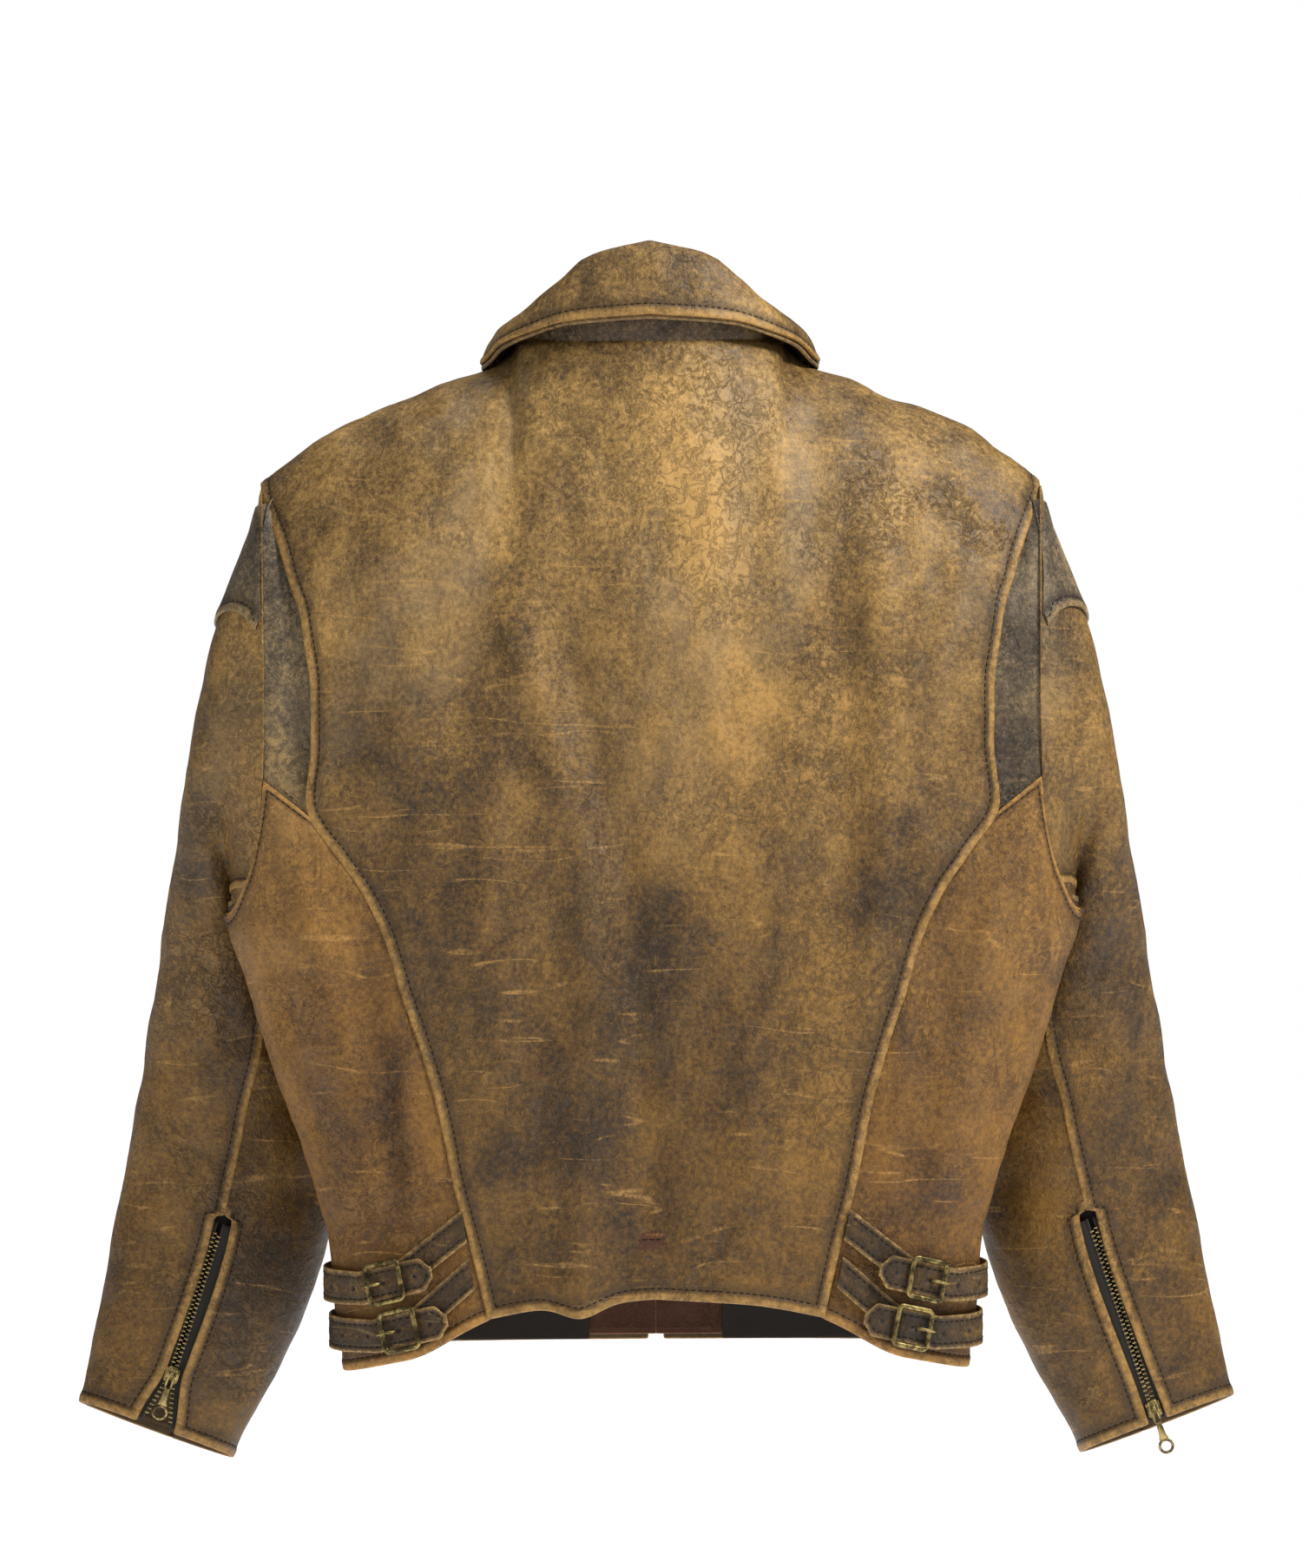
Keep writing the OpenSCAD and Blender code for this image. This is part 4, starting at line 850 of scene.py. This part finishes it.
FOLD, CUT, RAW, TUCK = "fold", "cut", "raw", "tuck"
panel("back_panel_leather", back_surf, BROWN, (FOLD, FOLD, FOLD, TUCK), shell_folds, 4.2,
      stitches="torso_stitching",
      nodes=("back_panel",), slot="brown_leather", fine=260)
for side, mirror in (("left", False), ("right", True)):
    panel(side + "_front_leather", front_surf, BROWN, (FOLD, FOLD, FOLD, TUCK), shell_folds, 4.6,
          stitches="torso_stitching", nodes=(side + "_front_panel",), slot="brown_leather", mirror=mirror)
    panel(side + "_side_leather", side_surf, TAN, (TUCK, TUCK, FOLD, FOLD), side_folds, 3.6,
          stitches="torso_stitching", nodes=(side + "_side_panel",), slot="tan_leather", mirror=mirror)
    panel(side + "_front_armhole_leather", front_armhole_surf, BROWN, (TUCK, TUCK, TUCK, TUCK), None, 2.6,
          nodes=(side + "_front_panel",), slot="brown_leather", mirror=mirror)
    panel(side + "_flange_leather", flange_surf, DARK, (TUCK, TUCK, TUCK, FOLD), None, 2.6, puff=0.7,
          stitches="torso_stitching", nodes=(side + "_action_gusset",), slot="dark_leather", mirror=mirror)
    panel(side + "_gusset_leather", gusset_surf, DARK, (TUCK, TUCK, TUCK, TUCK), gusset_folds, 2.6,
          nodes=(side + "_action_gusset",), slot="dark_leather", mirror=mirror)
    panel(side + "_cap_leather", cap_surf, DARK, (TUCK, TUCK, FOLD, TUCK),
          lambda p, u, v: 0.7 * noise(p / 16 + 8), 2.4, stitches=side + "_sleeve_stitching",
          nodes=(side + "_shoulder_cap",), slot="dark_leather", mirror=mirror)
    opened = 7.0 if side == "left" else 0.6
    panel(side + "_upper_sleeve_leather", sleeve_surf("upper", opened), BROWN, (TUCK, FOLD, FOLD, TUCK),
          sleeve_fold_fn("upper"), 3.8, stitches=side + "_sleeve_stitching", nodes=(side + "_upper_sleeve",),
          slot="brown_leather", mirror=mirror, fine=240)
    panel(side + "_under_sleeve_leather", sleeve_surf("under", opened), BROWN, (FOLD, TUCK, FOLD, TUCK),
          sleeve_fold_fn("under"), 3.8, stitches=side + "_sleeve_stitching", nodes=(side + "_under_sleeve",),
          slot="brown_leather", mirror=mirror, fine=240, part={0: (-1, 0.27)})
panel("top_collar_leather", collar_surf, BROWN, (FOLD, FOLD, FOLD, TUCK), collar_folds, 2.6,
      stitches="collar_stitching",
      nodes=("top_collar",), slot="brown_leather")
panel("under_collar_leather", lambda u, v: collar_surf(u, v * 0.66, 2.6, 1.045), STAND,
      (FOLD, FOLD, FOLD, TUCK),
      None, 3.0, puff=0.3, nodes=("under_collar",), slot="brown_leather")
panel("collar_stand_leather", stand_surf, STAND, (TUCK, TUCK, TUCK, TUCK), None, 3.0, turned=7.0,
      nodes=("collar_stand",),
      slot="dark_leather")


# ---------------------------------------------------------------- lining, facings and pads
def inset(surf, depth):
    def inner(u, v):
        p = surf(u, v)
        return p - normals(p) * depth
    return inner


def ripple(p, u, v):
    drape = np.stack([p[..., 0] / 40, p[..., 1] / 40, p[..., 2] / 150], -1)
    return 0.8 * noise(drape + 13) + 0.2 * noise(p / 12)


def lining_back(u, v):
    return back_surf(u, v * 0.93)


def lining_front(u, v):
    w = edge_width(1 - (1 - v * 0.92) ** 1.7, FRONT_W, FRONT_HEM_Z) - 0.2
    return front_surf((lerp(44.0, w, u) - ZIP_LIP) / (w - ZIP_LIP), v * 0.92)


def sleeve_lining(u, v):
    return ring_pt(0.96 - 0.46 * v, FRONT_SEAM_A + 358 * u)


def front_facing(u, v):
    x, z = lerp(0.6, 42.0, u), lerp(FRONT_HEM_Z + 3, -112.0, v)
    return np.stack([x, front_y(x, z), z], -1)


HEM_BACK = [(0, -600), (60, -604), (115, -614), (150, -628), (177, -638), (200, -642)]
HEM_FRONT = [(0, -628), (150, -630), (180, -636), (200, -642)]


def hem_facing(u, v):
    a = lerp(-86.0, 266.0, u)
    x = np.abs(body_pt(a, -600.0 + 0 * a)[..., 0])
    low = np.where(np.sin(np.radians(a)) > 0, pchip(HEM_BACK, x), pchip(HEM_FRONT, x))
    p = body_pt(a, low + 2 + 38 * v)
    return p


def pad_surf(u, v):
    x, s = lerp(208.0, 112.0, u), lerp(0.9, -0.9, v)
    z = pchip(RIDGE, x) - 78 * s * s
    p = np.stack([x, np.where(s > 0, back_y(x, z), front_y(x, z)), z], -1)
    return p


RAWS = (RAW, RAW, RAW, RAW)
LIN = dict(thick=0.8, puff=0.0)
panel("body_lining_back", inset(lining_back, LINING_DEPTH), LINING, RAWS, ripple, 6.0,
      nodes=("body_lining",), slot="lining_cloth", **LIN)
for side, mirror in (("left", False), ("right", True)):
    panel("body_lining_%s_front" % side, inset(lining_front, LINING_DEPTH), LINING, RAWS, ripple, 7.0,
          nodes=("body_lining",), slot="lining_cloth", mirror=mirror, **LIN)
    panel("body_lining_%s_side" % side, inset(lambda u, v: side_surf(u, v * 0.95), LINING_DEPTH), LINING,
          RAWS, ripple, 7.0, nodes=("body_lining",), slot="lining_cloth", mirror=mirror, **LIN)
    panel(side + "_sleeve_lining_cloth", inset(sleeve_lining, SLEEVE_LINING_DEPTH), LINING, RAWS, ripple, 6.0,
          nodes=(side + "_sleeve_lining",), slot="lining_cloth", mirror=mirror, **LIN)
    panel(side + "_facing_leather", inset(front_facing, FACING_DEPTH), FACING, (CUT, CUT, CUT, TUCK), None, 4.0,
          stitches="facing_stitching", nodes=(side + "_front_facing",), slot="facing_leather", mirror=mirror)
    pad = panel(side + "_pad_felt", inset(pad_surf, PAD_DEPTH), FELT, RAWS, None, 4.0, thick=2.4, puff=0.0,
                nodes=(side + "_shoulder_pad",), slot="felt_pad", mirror=mirror, cloth_sheet=False)
panel("hem_facing_leather", inset(hem_facing, HEM_DEPTH), FACING, (RAW, RAW, CUT, CUT),
      lambda p, u, v: 0.7 * noise(p / 24 + 2), 4.0, stitches="facing_stitching",
      nodes=("hem_facing",), slot="facing_leather")


# ---------------------------------------------------------------- tubes, plates and the frames they sit in
def tube(path, radius, sides=10, closed=False, flat=1.0, up=(0, 1, 0), round_ends=True):
    """A round or flattened bar along a path: (vertices, faces)."""
    path = np.asarray(path, float)
    radius = np.broadcast_to(np.asarray(radius, float), (len(path),))
    if closed:
        tangent = unit(np.roll(path, -1, 0) - np.roll(path, 1, 0))
    else:
        tangent = unit(np.gradient(path, axis=0))
        if round_ends:
            t0, t1, r0, r1 = tangent[0], tangent[-1], radius[0], radius[-1]
            cap = [(0.98, 0.2), (0.75, 0.66), (0.35, 0.93)]
            start = [path[0] - t0 * r0 * a for a, b in cap]
            end = [path[-1] + t1 * r1 * a for a, b in cap[::-1]]
            path = np.concatenate([start, path, end])
            radius = np.concatenate([[r0 * b for a, b in cap], radius, [r1 * b for a, b in cap[::-1]]])
            tangent = np.concatenate([[t0] * 3, tangent, [t1] * 3])
    up = np.broadcast_to(np.asarray(up, float), path.shape)
    side = unit(np.cross(tangent, up))
    up = unit(np.cross(side, tangent))
    ang = np.linspace(0, 2 * math.pi, sides, endpoint=False)
    verts = (path[:, None] + side[:, None] * (np.cos(ang)[None, :, None] * radius[:, None, None])
             + up[:, None] * (np.sin(ang)[None, :, None] * radius[:, None, None] * flat)).reshape(-1, 3)
    n = len(path)
    faces = [list(f) for f in grid_faces(n, sides, wrap=True)]
    if closed:
        last = (n - 1) * sides
        faces += [[last + k, last + (k + 1) % sides, (k + 1) % sides, k] for k in range(sides)]
    else:
        faces += [list(range(sides))[::-1], [(n - 1) * sides + k for k in range(sides)]]
    return verts, faces


def plate(outline, y0, y1, bevel=0.25):
    """A flat plate with rounded rims; outline is (x, z) anticlockwise seen from +Y's far side."""
    o = np.asarray(outline, float)
    c = o.mean(0)
    shrink = c + (o - c) * (1 - bevel / np.linalg.norm(o - c, axis=1).mean())
    layers = [(shrink, y0), (o, y0 + bevel), (o, y1 - bevel), (shrink, y1)]
    verts = np.concatenate([np.stack([q[:, 0], np.full(len(q), y), q[:, 1]], -1) for q, y in layers])
    n = len(o)
    faces = [list(f) for f in grid_faces(4, n, wrap=True)]
    faces += [list(range(n))[::-1], [3 * n + k for k in range(n)]]
    return verts, faces


def rounded_rect(w, h, r, n=5):
    pts = []
    for cx, cz, a0 in ((w - r, h - r, 0), (r - w, h - r, 90), (r - w, r - h, 180), (w - r, r - h, 270)):
        for k in range(n + 1):
            a = math.radians(a0 + 90 * k / n)
            pts.append((cx + r * math.cos(a), cz + r * math.sin(a)))
    return pts


def circle_path(cx, cz, rx, rz, y=0.0, n=28):
    return [(cx + rx * math.cos(2 * math.pi * k / n), y, cz + rz * math.sin(2 * math.pi * k / n))
            for k in range(n)]


def joined(parts):
    verts, faces, base = [], [], 0
    for v, f in parts:
        verts.append(np.asarray(v, float))
        faces += [[i + base for i in face] for face in f]
        base += len(v)
    return np.concatenate(verts), faces


def placed(points, at, axes, mirror=False):
    """Points of a local frame (rows of axes are its X, Y and Z) moved to the jacket."""
    q = np.asarray(at, float) + np.asarray(points, float) @ np.asarray(axes, float)
    return q * (-1, 1, 1) if mirror else q


def fitting(name, parts, material, frame_at, mirror=False, body="jacket", nodes=()):
    verts, faces = joined(parts)
    verts = placed(verts, *frame_at, mirror=mirror)
    piece = make(name, verts, faces, material, body=body, nodes=nodes)
    mesh = bmesh.new()
    mesh.from_mesh(piece.data)
    bmesh.ops.recalc_face_normals(mesh, faces=mesh.faces)
    mesh.to_mesh(piece.data)
    mesh.free()
    return piece


# ---------------------------------------------------------------- zips
FRONT_DIR = unit(np.array([0.0, front_y(0.0, -140.0) - front_y(0.0, -612.0), 472.0]))
FRONT_OUT = np.cross([1.0, 0, 0], FRONT_DIR)
FRONT_LOW = np.array([0.0, front_y(0.0, -612.0), -612.0])
CUFF_LOW, CUFF_TOP = ring_pt(np.array(1.0), np.array(90.0)), ring_pt(np.array(0.8), np.array(90.0))
CUFF_DIR = unit(CUFF_TOP - CUFF_LOW)
CUFF_ACROSS = ring_pt(np.array(0.9), np.array(86.0)) - ring_pt(np.array(0.9), np.array(94.0))
CUFF_OUT = unit(np.cross(CUFF_DIR, CUFF_ACROSS))
CUFF_L = np.linalg.norm(CUFF_TOP - CUFF_LOW) - 2
FRONT_L = 510.0
FRONT_AXES = ((-1.0, 0, 0), tuple(FRONT_OUT), tuple(FRONT_DIR))
CUFF_AXES = (tuple(np.cross(CUFF_OUT, CUFF_DIR)), tuple(CUFF_OUT), tuple(CUFF_DIR))
TOOTH_PITCH = 3.0
PIVOT_Y, PULL_L = 4.7, 30.0


def tooth(x, z, side, lean):
    """One tooth: a rounded block with a waist, gripping its tape."""
    ring = [(-1.0, 0.72), (-0.45, 1.0), (0.25, 0.8), (1.0, 0.98), (1.5, 0.6)]
    verts = []
    for along, size in ring:
        for k in range(8):
            a = 2 * math.pi * (k + 0.5) / 8
            verts.append((x - side * (along * 1.15 - 0.35), spow(np.array(math.sin(a)), 0.6) * 1.15 * size,
                          z + lean * along + spow(np.array(math.cos(a)), 0.6) * 0.72 * size))
    faces = [list(f) for f in grid_faces(5, 8, wrap=True)]
    faces += [list(range(8))[::-1], [32 + k for k in range(8)]]
    return verts, faces


def zip_rows(length, spread):
    """Teeth and tapes of a zip. spread(z) is how far each row stands from the middle line."""
    teeth, tapes = [], []
    for side in (-1, 1):
        count = int((length - 7) / TOOTH_PITCH)
        for i in range(count):
            z = 4.5 + (i + (0.5 if side > 0 else 0)) * TOOTH_PITCH
            teeth.append(tooth(side * (1.45 + spread(z)), z, side, 0))
        zs = np.linspace(0, length, int(length / 3))
        grid = []
        for z in zs:
            x0 = side * (2.2 + spread(z))
            x1 = side * max(9.6, 4 + spread(z) + 3)
            row = [(lerp(x0, x1, k / 6), -0.15 + 0.2 * math.cos(k * 2.1) - 0.1 * (k > 3), z)
                   for k in range(7)]
            grid.append(row[::side])
        g = np.array(grid)
        g = g[:, ::-1]
        n = len(zs) * 7
        front, rear = g + (0, 0.3, 0), g - (0, 0.3, 0)
        loop = boundary(len(zs), 7)
        idx = loop[:, 0] * 7 + loop[:, 1]
        faces = [list(f) for f in grid_faces(len(zs), 7)]
        faces += [list(f) for f in grid_faces(len(zs), 7, base=n, flip=True)]
        faces += [[a, a + n, b + n, b] for a, b in zip(idx, np.roll(idx, -1))]
        tapes.append((np.concatenate([front.reshape(-1, 3), rear.reshape(-1, 3)]), faces))
        cord = [(side * (2.35 + spread(z)), 0.0, z) for z in zs]
        tapes.append(tube(cord, 0.75, 8))
    return teeth, tapes


def slider_parts(wide_up):
    flip = 1 if wide_up else -1
    outline = [(-4.2, 4.6), (-2.9, 5.4), (-1.2, 4.4), (0, 3.6), (1.2, 4.4), (2.9, 5.4), (4.2, 4.6),
               (3.9, 0.5), (3.3, -4.2), (2.6, -5.4), (-2.6, -5.4), (-3.3, -4.2), (-3.9, 0.5)]
    outline = [(x, z * flip) for x, z in outline][::-flip]
    parts = [plate(outline, 1.4, 2.5), plate(outline, -2.5, -1.4)]
    parts.append(tube([(0, -1.5, 3 * flip), (0, 1.5, 3 * flip)], 0.5, up=(0, 0, 1)))
    for side in (-1, 1):
        x0, x1 = side * 2.6 - 0.5, side * 2.6 + 0.5
        parts.append(plate([(x0, -1.9), (x1, -1.9), (x1, 1.9), (x0, 1.9)], 2.3, 5.2, 0.15))
        parts.append(tube([(side * 4.05, -1.9, -4 * flip), (side * 4.2, -1.9, 4 * flip)], 0.55))
        parts.append(tube([(side * 4.05, 1.9, -4 * flip), (side * 4.2, 1.9, 4 * flip)], 0.55))
    parts.append(tube([(-2.5, PIVOT_Y, 0), (2.5, PIVOT_Y, 0)], 0.75, 12, up=(0, 0, 1)))
    return parts


def pull_parts():
    """The pull: a teardrop loop round the pivot, a waisted shank and a ring at its end."""
    drop = []
    for k in range(32):
        a = 2 * math.pi * k / 32
        w = 1.75 + 0.5 * max(0.0, -math.sin(a))
        drop.append((w * math.cos(a), PIVOT_Y, -4.2 + 5.6 * math.sin(a)))
    shank = [(1.5, -8.6), (1.9, -12), (2.2, -17), (3.2, -20.4),
             (-3.2, -20.4), (-2.2, -17), (-1.9, -12), (-1.5, -8.6)]
    return [tube(drop, 0.85, 10, True, 0.9), plate(shank[::-1], PIVOT_Y - 0.75, PIVOT_Y + 0.75),
            tube(circle_path(0, 5.0 - PULL_L, 4.15, 4.15, PIVOT_Y), 0.95, 10, True, 0.85)]


def zipper(prefix, length, rest, at, axes, spread, mirror, wide_up, bodies):
    origin = np.asarray(at) - np.asarray(axes[1]) * ZIP_DEPTH
    teeth, tapes = zip_rows(length, spread)
    fitting(prefix + "_teeth_brass", teeth, ZIP_BRASS, (origin, axes), mirror,
            nodes=(prefix + "_zip_teeth",))
    fitting(prefix + "_tapes_woven", tapes, TAPE, (origin, axes), mirror,
            nodes=(prefix + "_zip_tapes",))
    spot = (origin + np.asarray(axes[2]) * rest, axes)
    stem = "front_zip" if prefix == "front" else prefix
    slider, pull = stem + "_slider", stem + "_pull"
    fitting(slider + "_brass", slider_parts(wide_up), ZIP_BRASS, spot, mirror, bodies[0], (slider,))
    fitting(pull + "_brass", pull_parts(), ZIP_BRASS, spot, mirror, bodies[1], (pull,))


zipper("front", FRONT_L, FRONT_L - 12, FRONT_LOW, FRONT_AXES,
       lambda z: 1.2 * smooth(z, FRONT_L - 14, FRONT_L), False, True,
       ("front_slider", "front_pull"))
zipper("left_cuff", CUFF_L, 34.0, CUFF_LOW, CUFF_AXES,
       lambda z: 8.0 * np.clip((34 - z) / 34, 0, 1) ** 1.15, False, False,
       ("left_cuff_slider_body", "left_cuff_pull_body"))
zipper("right_cuff", CUFF_L, 7.0, CUFF_LOW, CUFF_AXES,
       lambda z: 1.6 * np.clip((8 - z) / 8, 0, 1), True, False,
       ("right_cuff_slider_body", "right_cuff_pull_body"))


# ---------------------------------------------------------------- waist straps and buckles
BUCKLES = [("upper", 167.0, -590.0, -588.0), ("lower", 158.0, -620.0, -618.0)]
STRAP_HALF = 10.0


def buckle_frame(x, z):
    slope = float(back_y(x + 1.0, z) - back_y(x - 1.0, z)) / 2
    out = unit(np.array([-slope, 1, 0]))
    flat = unit(np.array([1, slope, 0]))
    tilt = math.radians(BUCKLE_TILT)
    along = flat * math.cos(tilt) - np.array([0, 0, 1]) * math.sin(tilt)
    up = flat * math.sin(tilt) + np.array([0, 0, 1]) * math.cos(tilt)
    return np.array([x, float(back_y(x, z)), z]) + out * PIN_LIFT, (along, out, up)


def strap_surf(at, axes, end_z):
    """The waist strap from the front seam round the side, through the buckle to its tail."""
    along, out, up = axes
    start = at + along * 18 + out * 4.6
    centre, wide = [], []
    for a in np.linspace(-50, 19, 60):
        z = lerp(end_z, start[2], smooth(a, -20, 30))
        p, q = body_pt(np.array(a), np.array(z)), body_pt(np.array(a + 1.0), np.array(z))
        lift = lerp(3.2, 7.4, smooth(a, -10, 30)) + 1.6
        centre.append(p + unit(np.cross(q - p, [0, 0, 1.0])) * lift)
        wide.append((0, 0, STRAP_HALF))
    for x in np.linspace(18, -31, 110):
        crown = 1.7 * max(0.0, math.cos(math.pi * x / 19)) if abs(x) < 9.5 else 0.0
        droop = 0.8 * smooth(-x, 16, 31) + 0.7 * math.exp(-((abs(x) - 11.2) / 3.0) ** 2)
        centre.append(at + along * x + out * (4.5 + crown - droop))
        wide.append(up * STRAP_HALF * lerp(1.0, 0.34, float(smooth(-x, 23.5, 31) ** 1.2)))
    centre, wide = np.array(centre), np.array(wide)
    s = np.concatenate([[0], np.cumsum(np.linalg.norm(np.diff(centre, axis=0), axis=1))])

    def surf(u, v):
        c = np.stack([np.interp(u * s[-1], s, centre[:, k]) for k in range(3)], -1)
        w = np.stack([np.interp(u * s[-1], s, wide[:, k]) for k in range(3)], -1)
        return c + w * (2 * v - 1)[..., None]
    return surf, s[-1]


def strap_folds(p, u, v):
    return 0.25 * noise(p / 17 + 6) + 0.12 * noise(p / 7 + 3)


def anchor_surf(at, axes, end):
    """The short strap folded round the pin: under layer, round the pin, then up to the seam."""
    drop = math.radians(5.6)
    path = [(-14, -2.0)] + [(-2, -2.0)]
    path += [(2.0 * math.sin(math.radians(a)), -2.0 * math.cos(math.radians(a))) for a in range(20, 181, 20)]
    path += [(-4, 1.6)] + [(x, 0.2 + 0.8 * math.exp((x + 4) / 8)) for x in np.linspace(-8, end[0], 30)]
    path = np.array(path)
    s = np.concatenate([[0], np.cumsum(np.linalg.norm(np.diff(path, axis=0), axis=1))])

    def surf(u, v):
        x, y = (np.interp(u * s[-1], s, path[:, k]) for k in range(2))
        share = np.clip((-5 - x) / (-5 - end[0]), 0, 1)
        turned = np.where(x < -2, y + x * math.sin(drop) * np.clip((-x - 2) / 10, 0, 1), y)
        q = np.stack([x, turned, end[1] * share + (2 * v - 1) * 9.4], -1)
        return at + q @ np.asarray(axes)
    return surf


def rect_path(w, h, r, y):
    return [(x, y + 0.7 * (1 - (x / w) ** 2), z) for x, z in rounded_rect(w, h, r, 6)]


def buckle_parts():
    parts = [tube(rect_path(BUCKLE_REACH, RAIL_Z, 3.0, BAR_Y), 1.75, 12, True, 0.8)]
    parts.append(tube([(0, 0, -RAIL_Z), (0, 0, RAIL_Z)], 1.2, 14))
    for side in (-1, 1):
        arm = [(0, 0, side * RAIL_Z), (0, 2.4, side * (RAIL_Z + 0.3)),
               (0, 5, side * (RAIL_Z + 0.2)), (0, BAR_Y, side * RAIL_Z)]
        parts.append(tube(arm, [1.7, 1.35, 1.3, 1.4], 12, up=(1, 0, 0)))
    return parts


def prong_parts():
    loop = [(2.1 * math.cos(a), 2.1 * math.sin(a), 0) for a in np.linspace(0.5, 2 * math.pi + 0.2, 20)]
    arm = [(1.6, 1.5, 0), (2.6, 3.2, 0), (3.1, 6.2, 0), (3.9, 8.6, 0),
           (6, 9.9, 0), (9, 10.1, 0), (12, 9.8, 0), (13.6, 9.5, 0)]
    arm_r = [1.0, 1.05, 1.1, 1.15, 1.15, 1.1, 1.0, 0.8]
    return [tube(loop, 0.62, 8, up=(0, 0, 1)), tube(arm, arm_r, 10, up=(0, 0, 1))]


for side, mirror in (("left", False), ("right", True)):
    for (level, bx, bz, end_z), end in zip(BUCKLES, ((-55, 24), (-50, 25))):
        tag = side + "_" + level
        at, axes = buckle_frame(bx, bz)
        surf, length = strap_surf(at, axes, end_z)
        spots = [(1 - (31 + x) / length, 0.5, 1.5) for x in (-20, 1.5, 24, 45, 66)]
        panel(tag + "_strap_leather", surf, STRAP, (TUCK, CUT, CUT, CUT), strap_folds, 1.1, thick=1.6,
              stitches=side + "_strap_stitching", nodes=(tag + "_strap",), slot="strap_leather",
              mirror=mirror, holes=spots)
        panel(tag + "_anchor_leather", anchor_surf(at, axes, end), STRAP, (RAW, TUCK, CUT, CUT), None, 1.6,
              thick=1.2, stitches=side + "_strap_stitching", nodes=(tag + "_anchor",),
              slot="strap_leather", mirror=mirror)
        fitting(tag + "_buckle_brass", buckle_parts(), BRASS, (at, axes), mirror,
                tag + "_buckle_body", (tag + "_buckle",))
        fitting(tag + "_prong_brass", prong_parts(), BRASS, (at, axes), mirror,
                tag + "_prong_body", (tag + "_prong",))

# ---------------------------------------------------------------- hanger loop
LOOP = [(LOOP_R * math.cos(a), 0, LOOP_R * math.sin(a) - LOOP_R) for a in np.linspace(0, math.pi, 40)]
LOOP = [(LOOP_R, 0, -LOOP_R - LOOP_LEG)] + LOOP + [(-LOOP_R, 0, -LOOP_R - LOOP_LEG)]
strands = []
for phase in (0, 2.1, 4.2):
    path = [(p[0] + STRAND_OUT * math.cos(phase + k * STRAND_TURN) * np.sign(p[0] or 1),
             p[1] + STRAND_OUT * math.sin(phase + k * STRAND_TURN), p[2]) for k, p in enumerate(LOOP)]
    strands.append(tube(path, STRAND_R, 8))
WORLD_AXES = ((1, 0, 0), (0, 1, 0), (0, 0, 1))
fitting("hanger_loop_cord", strands, CORD, ((0, 0, 0), WORLD_AXES), nodes=("hanger_loop",))


# ---------------------------------------------------------------- camera, light, floor
def stage():
    cam = bpy.data.cameras.new("camera")
    obj = bpy.data.objects.new("camera", cam)
    bpy.context.scene.collection.objects.link(obj)
    distance = 12.0
    cam.sensor_width = 36
    cam.lens = 36 * (distance + 0.06) / 0.993
    cam.clip_start, cam.clip_end = 1, 60
    obj.location = (0.001, distance, -0.277)
    look = Vector((0, -1, 0)).to_track_quat("-Z", "Y")
    obj.rotation_euler = (look.to_matrix() @ Matrix.Rotation(math.radians(-0.35), 3, "Z")).to_euler()
    bpy.context.scene.camera = obj
    white = Net("studio_white")
    speck = white.noise(white.coords(), 6.0, 3.0)
    white.finish(white.mix(speck, rgb("#f4f4f2"), rgb("#fdfdfd")), 0.9,
                 Emission_Color=(1, 1, 1, 1), Emission_Strength=0.9)
    mesh = bpy.data.meshes.new("floor")
    corners = ((-1, -1), (1, -1), (1, 1), (-1, 1))
    mesh.from_pydata([(FLOOR_HALF * x, FLOOR_HALF * y, FLOOR_Z) for x, y in corners], [], [(0, 1, 2, 3)])
    mesh.materials.append(white.mat)
    floor = bpy.data.objects.new("floor", mesh)
    bpy.context.scene.collection.objects.link(floor)

    def area(name, where, size, power, target=(0, 0, -0.3), tint=(1, 1, 1)):
        lamp = bpy.data.lights.new(name, "AREA")
        lamp.shape = "RECTANGLE"
        lamp.size, lamp.size_y = size
        lamp.energy = power
        lamp.color = tint
        o = bpy.data.objects.new(name, lamp)
        o.location = where
        o.rotation_euler = (Vector(target) - Vector(where)).to_track_quat("-Z", "Y").to_euler()
        bpy.context.scene.collection.objects.link(o)

    area("key", (-1.25, 0.85, 1.0), (0.45, 0.45), 47, (0, 0, -0.25))
    area("fill", (1.7, 1.9, 0.9), (1.2, 1.2), 10, (0, 0, -0.2))
    area("top", (0, 0.2, 1.5), (1.2, 0.7), 9, (0, 0, -0.2))
    area("front_fill", (0, -0.7, 1.6), (1.4, 0.8), 6, (0, 0, -0.2))
    world = bpy.data.worlds.new("studio")
    bpy.context.scene.world = world
    world.use_nodes = True
    glow = world.node_tree.nodes["Background"]
    glow.inputs["Color"].default_value = (1, 1, 1, 1)
    seen = world.node_tree.nodes.new("ShaderNodeLightPath")
    level = world.node_tree.nodes.new("ShaderNodeMapRange")
    level.inputs["To Min"].default_value = 0.2
    level.inputs["To Max"].default_value = 1.0
    world.node_tree.links.new(seen.outputs["Is Camera Ray"], level.inputs["Value"])
    world.node_tree.links.new(level.outputs["Result"], glow.inputs["Strength"])
    bpy.context.scene.view_settings.view_transform = "Standard"


stage()
for group, lines in STITCHES.items():
    parts = [thread(a, b) for a, b in lines]
    verts, faces, base = [], [], 0
    for a, b in parts:
        verts.append(a)
        faces.append(b + base)
        base += len(a)
    make(group, np.concatenate(verts), np.concatenate(faces), THREAD)
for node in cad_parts.values():
    if not node.data.materials:
        node.data.materials.append(BRASS)
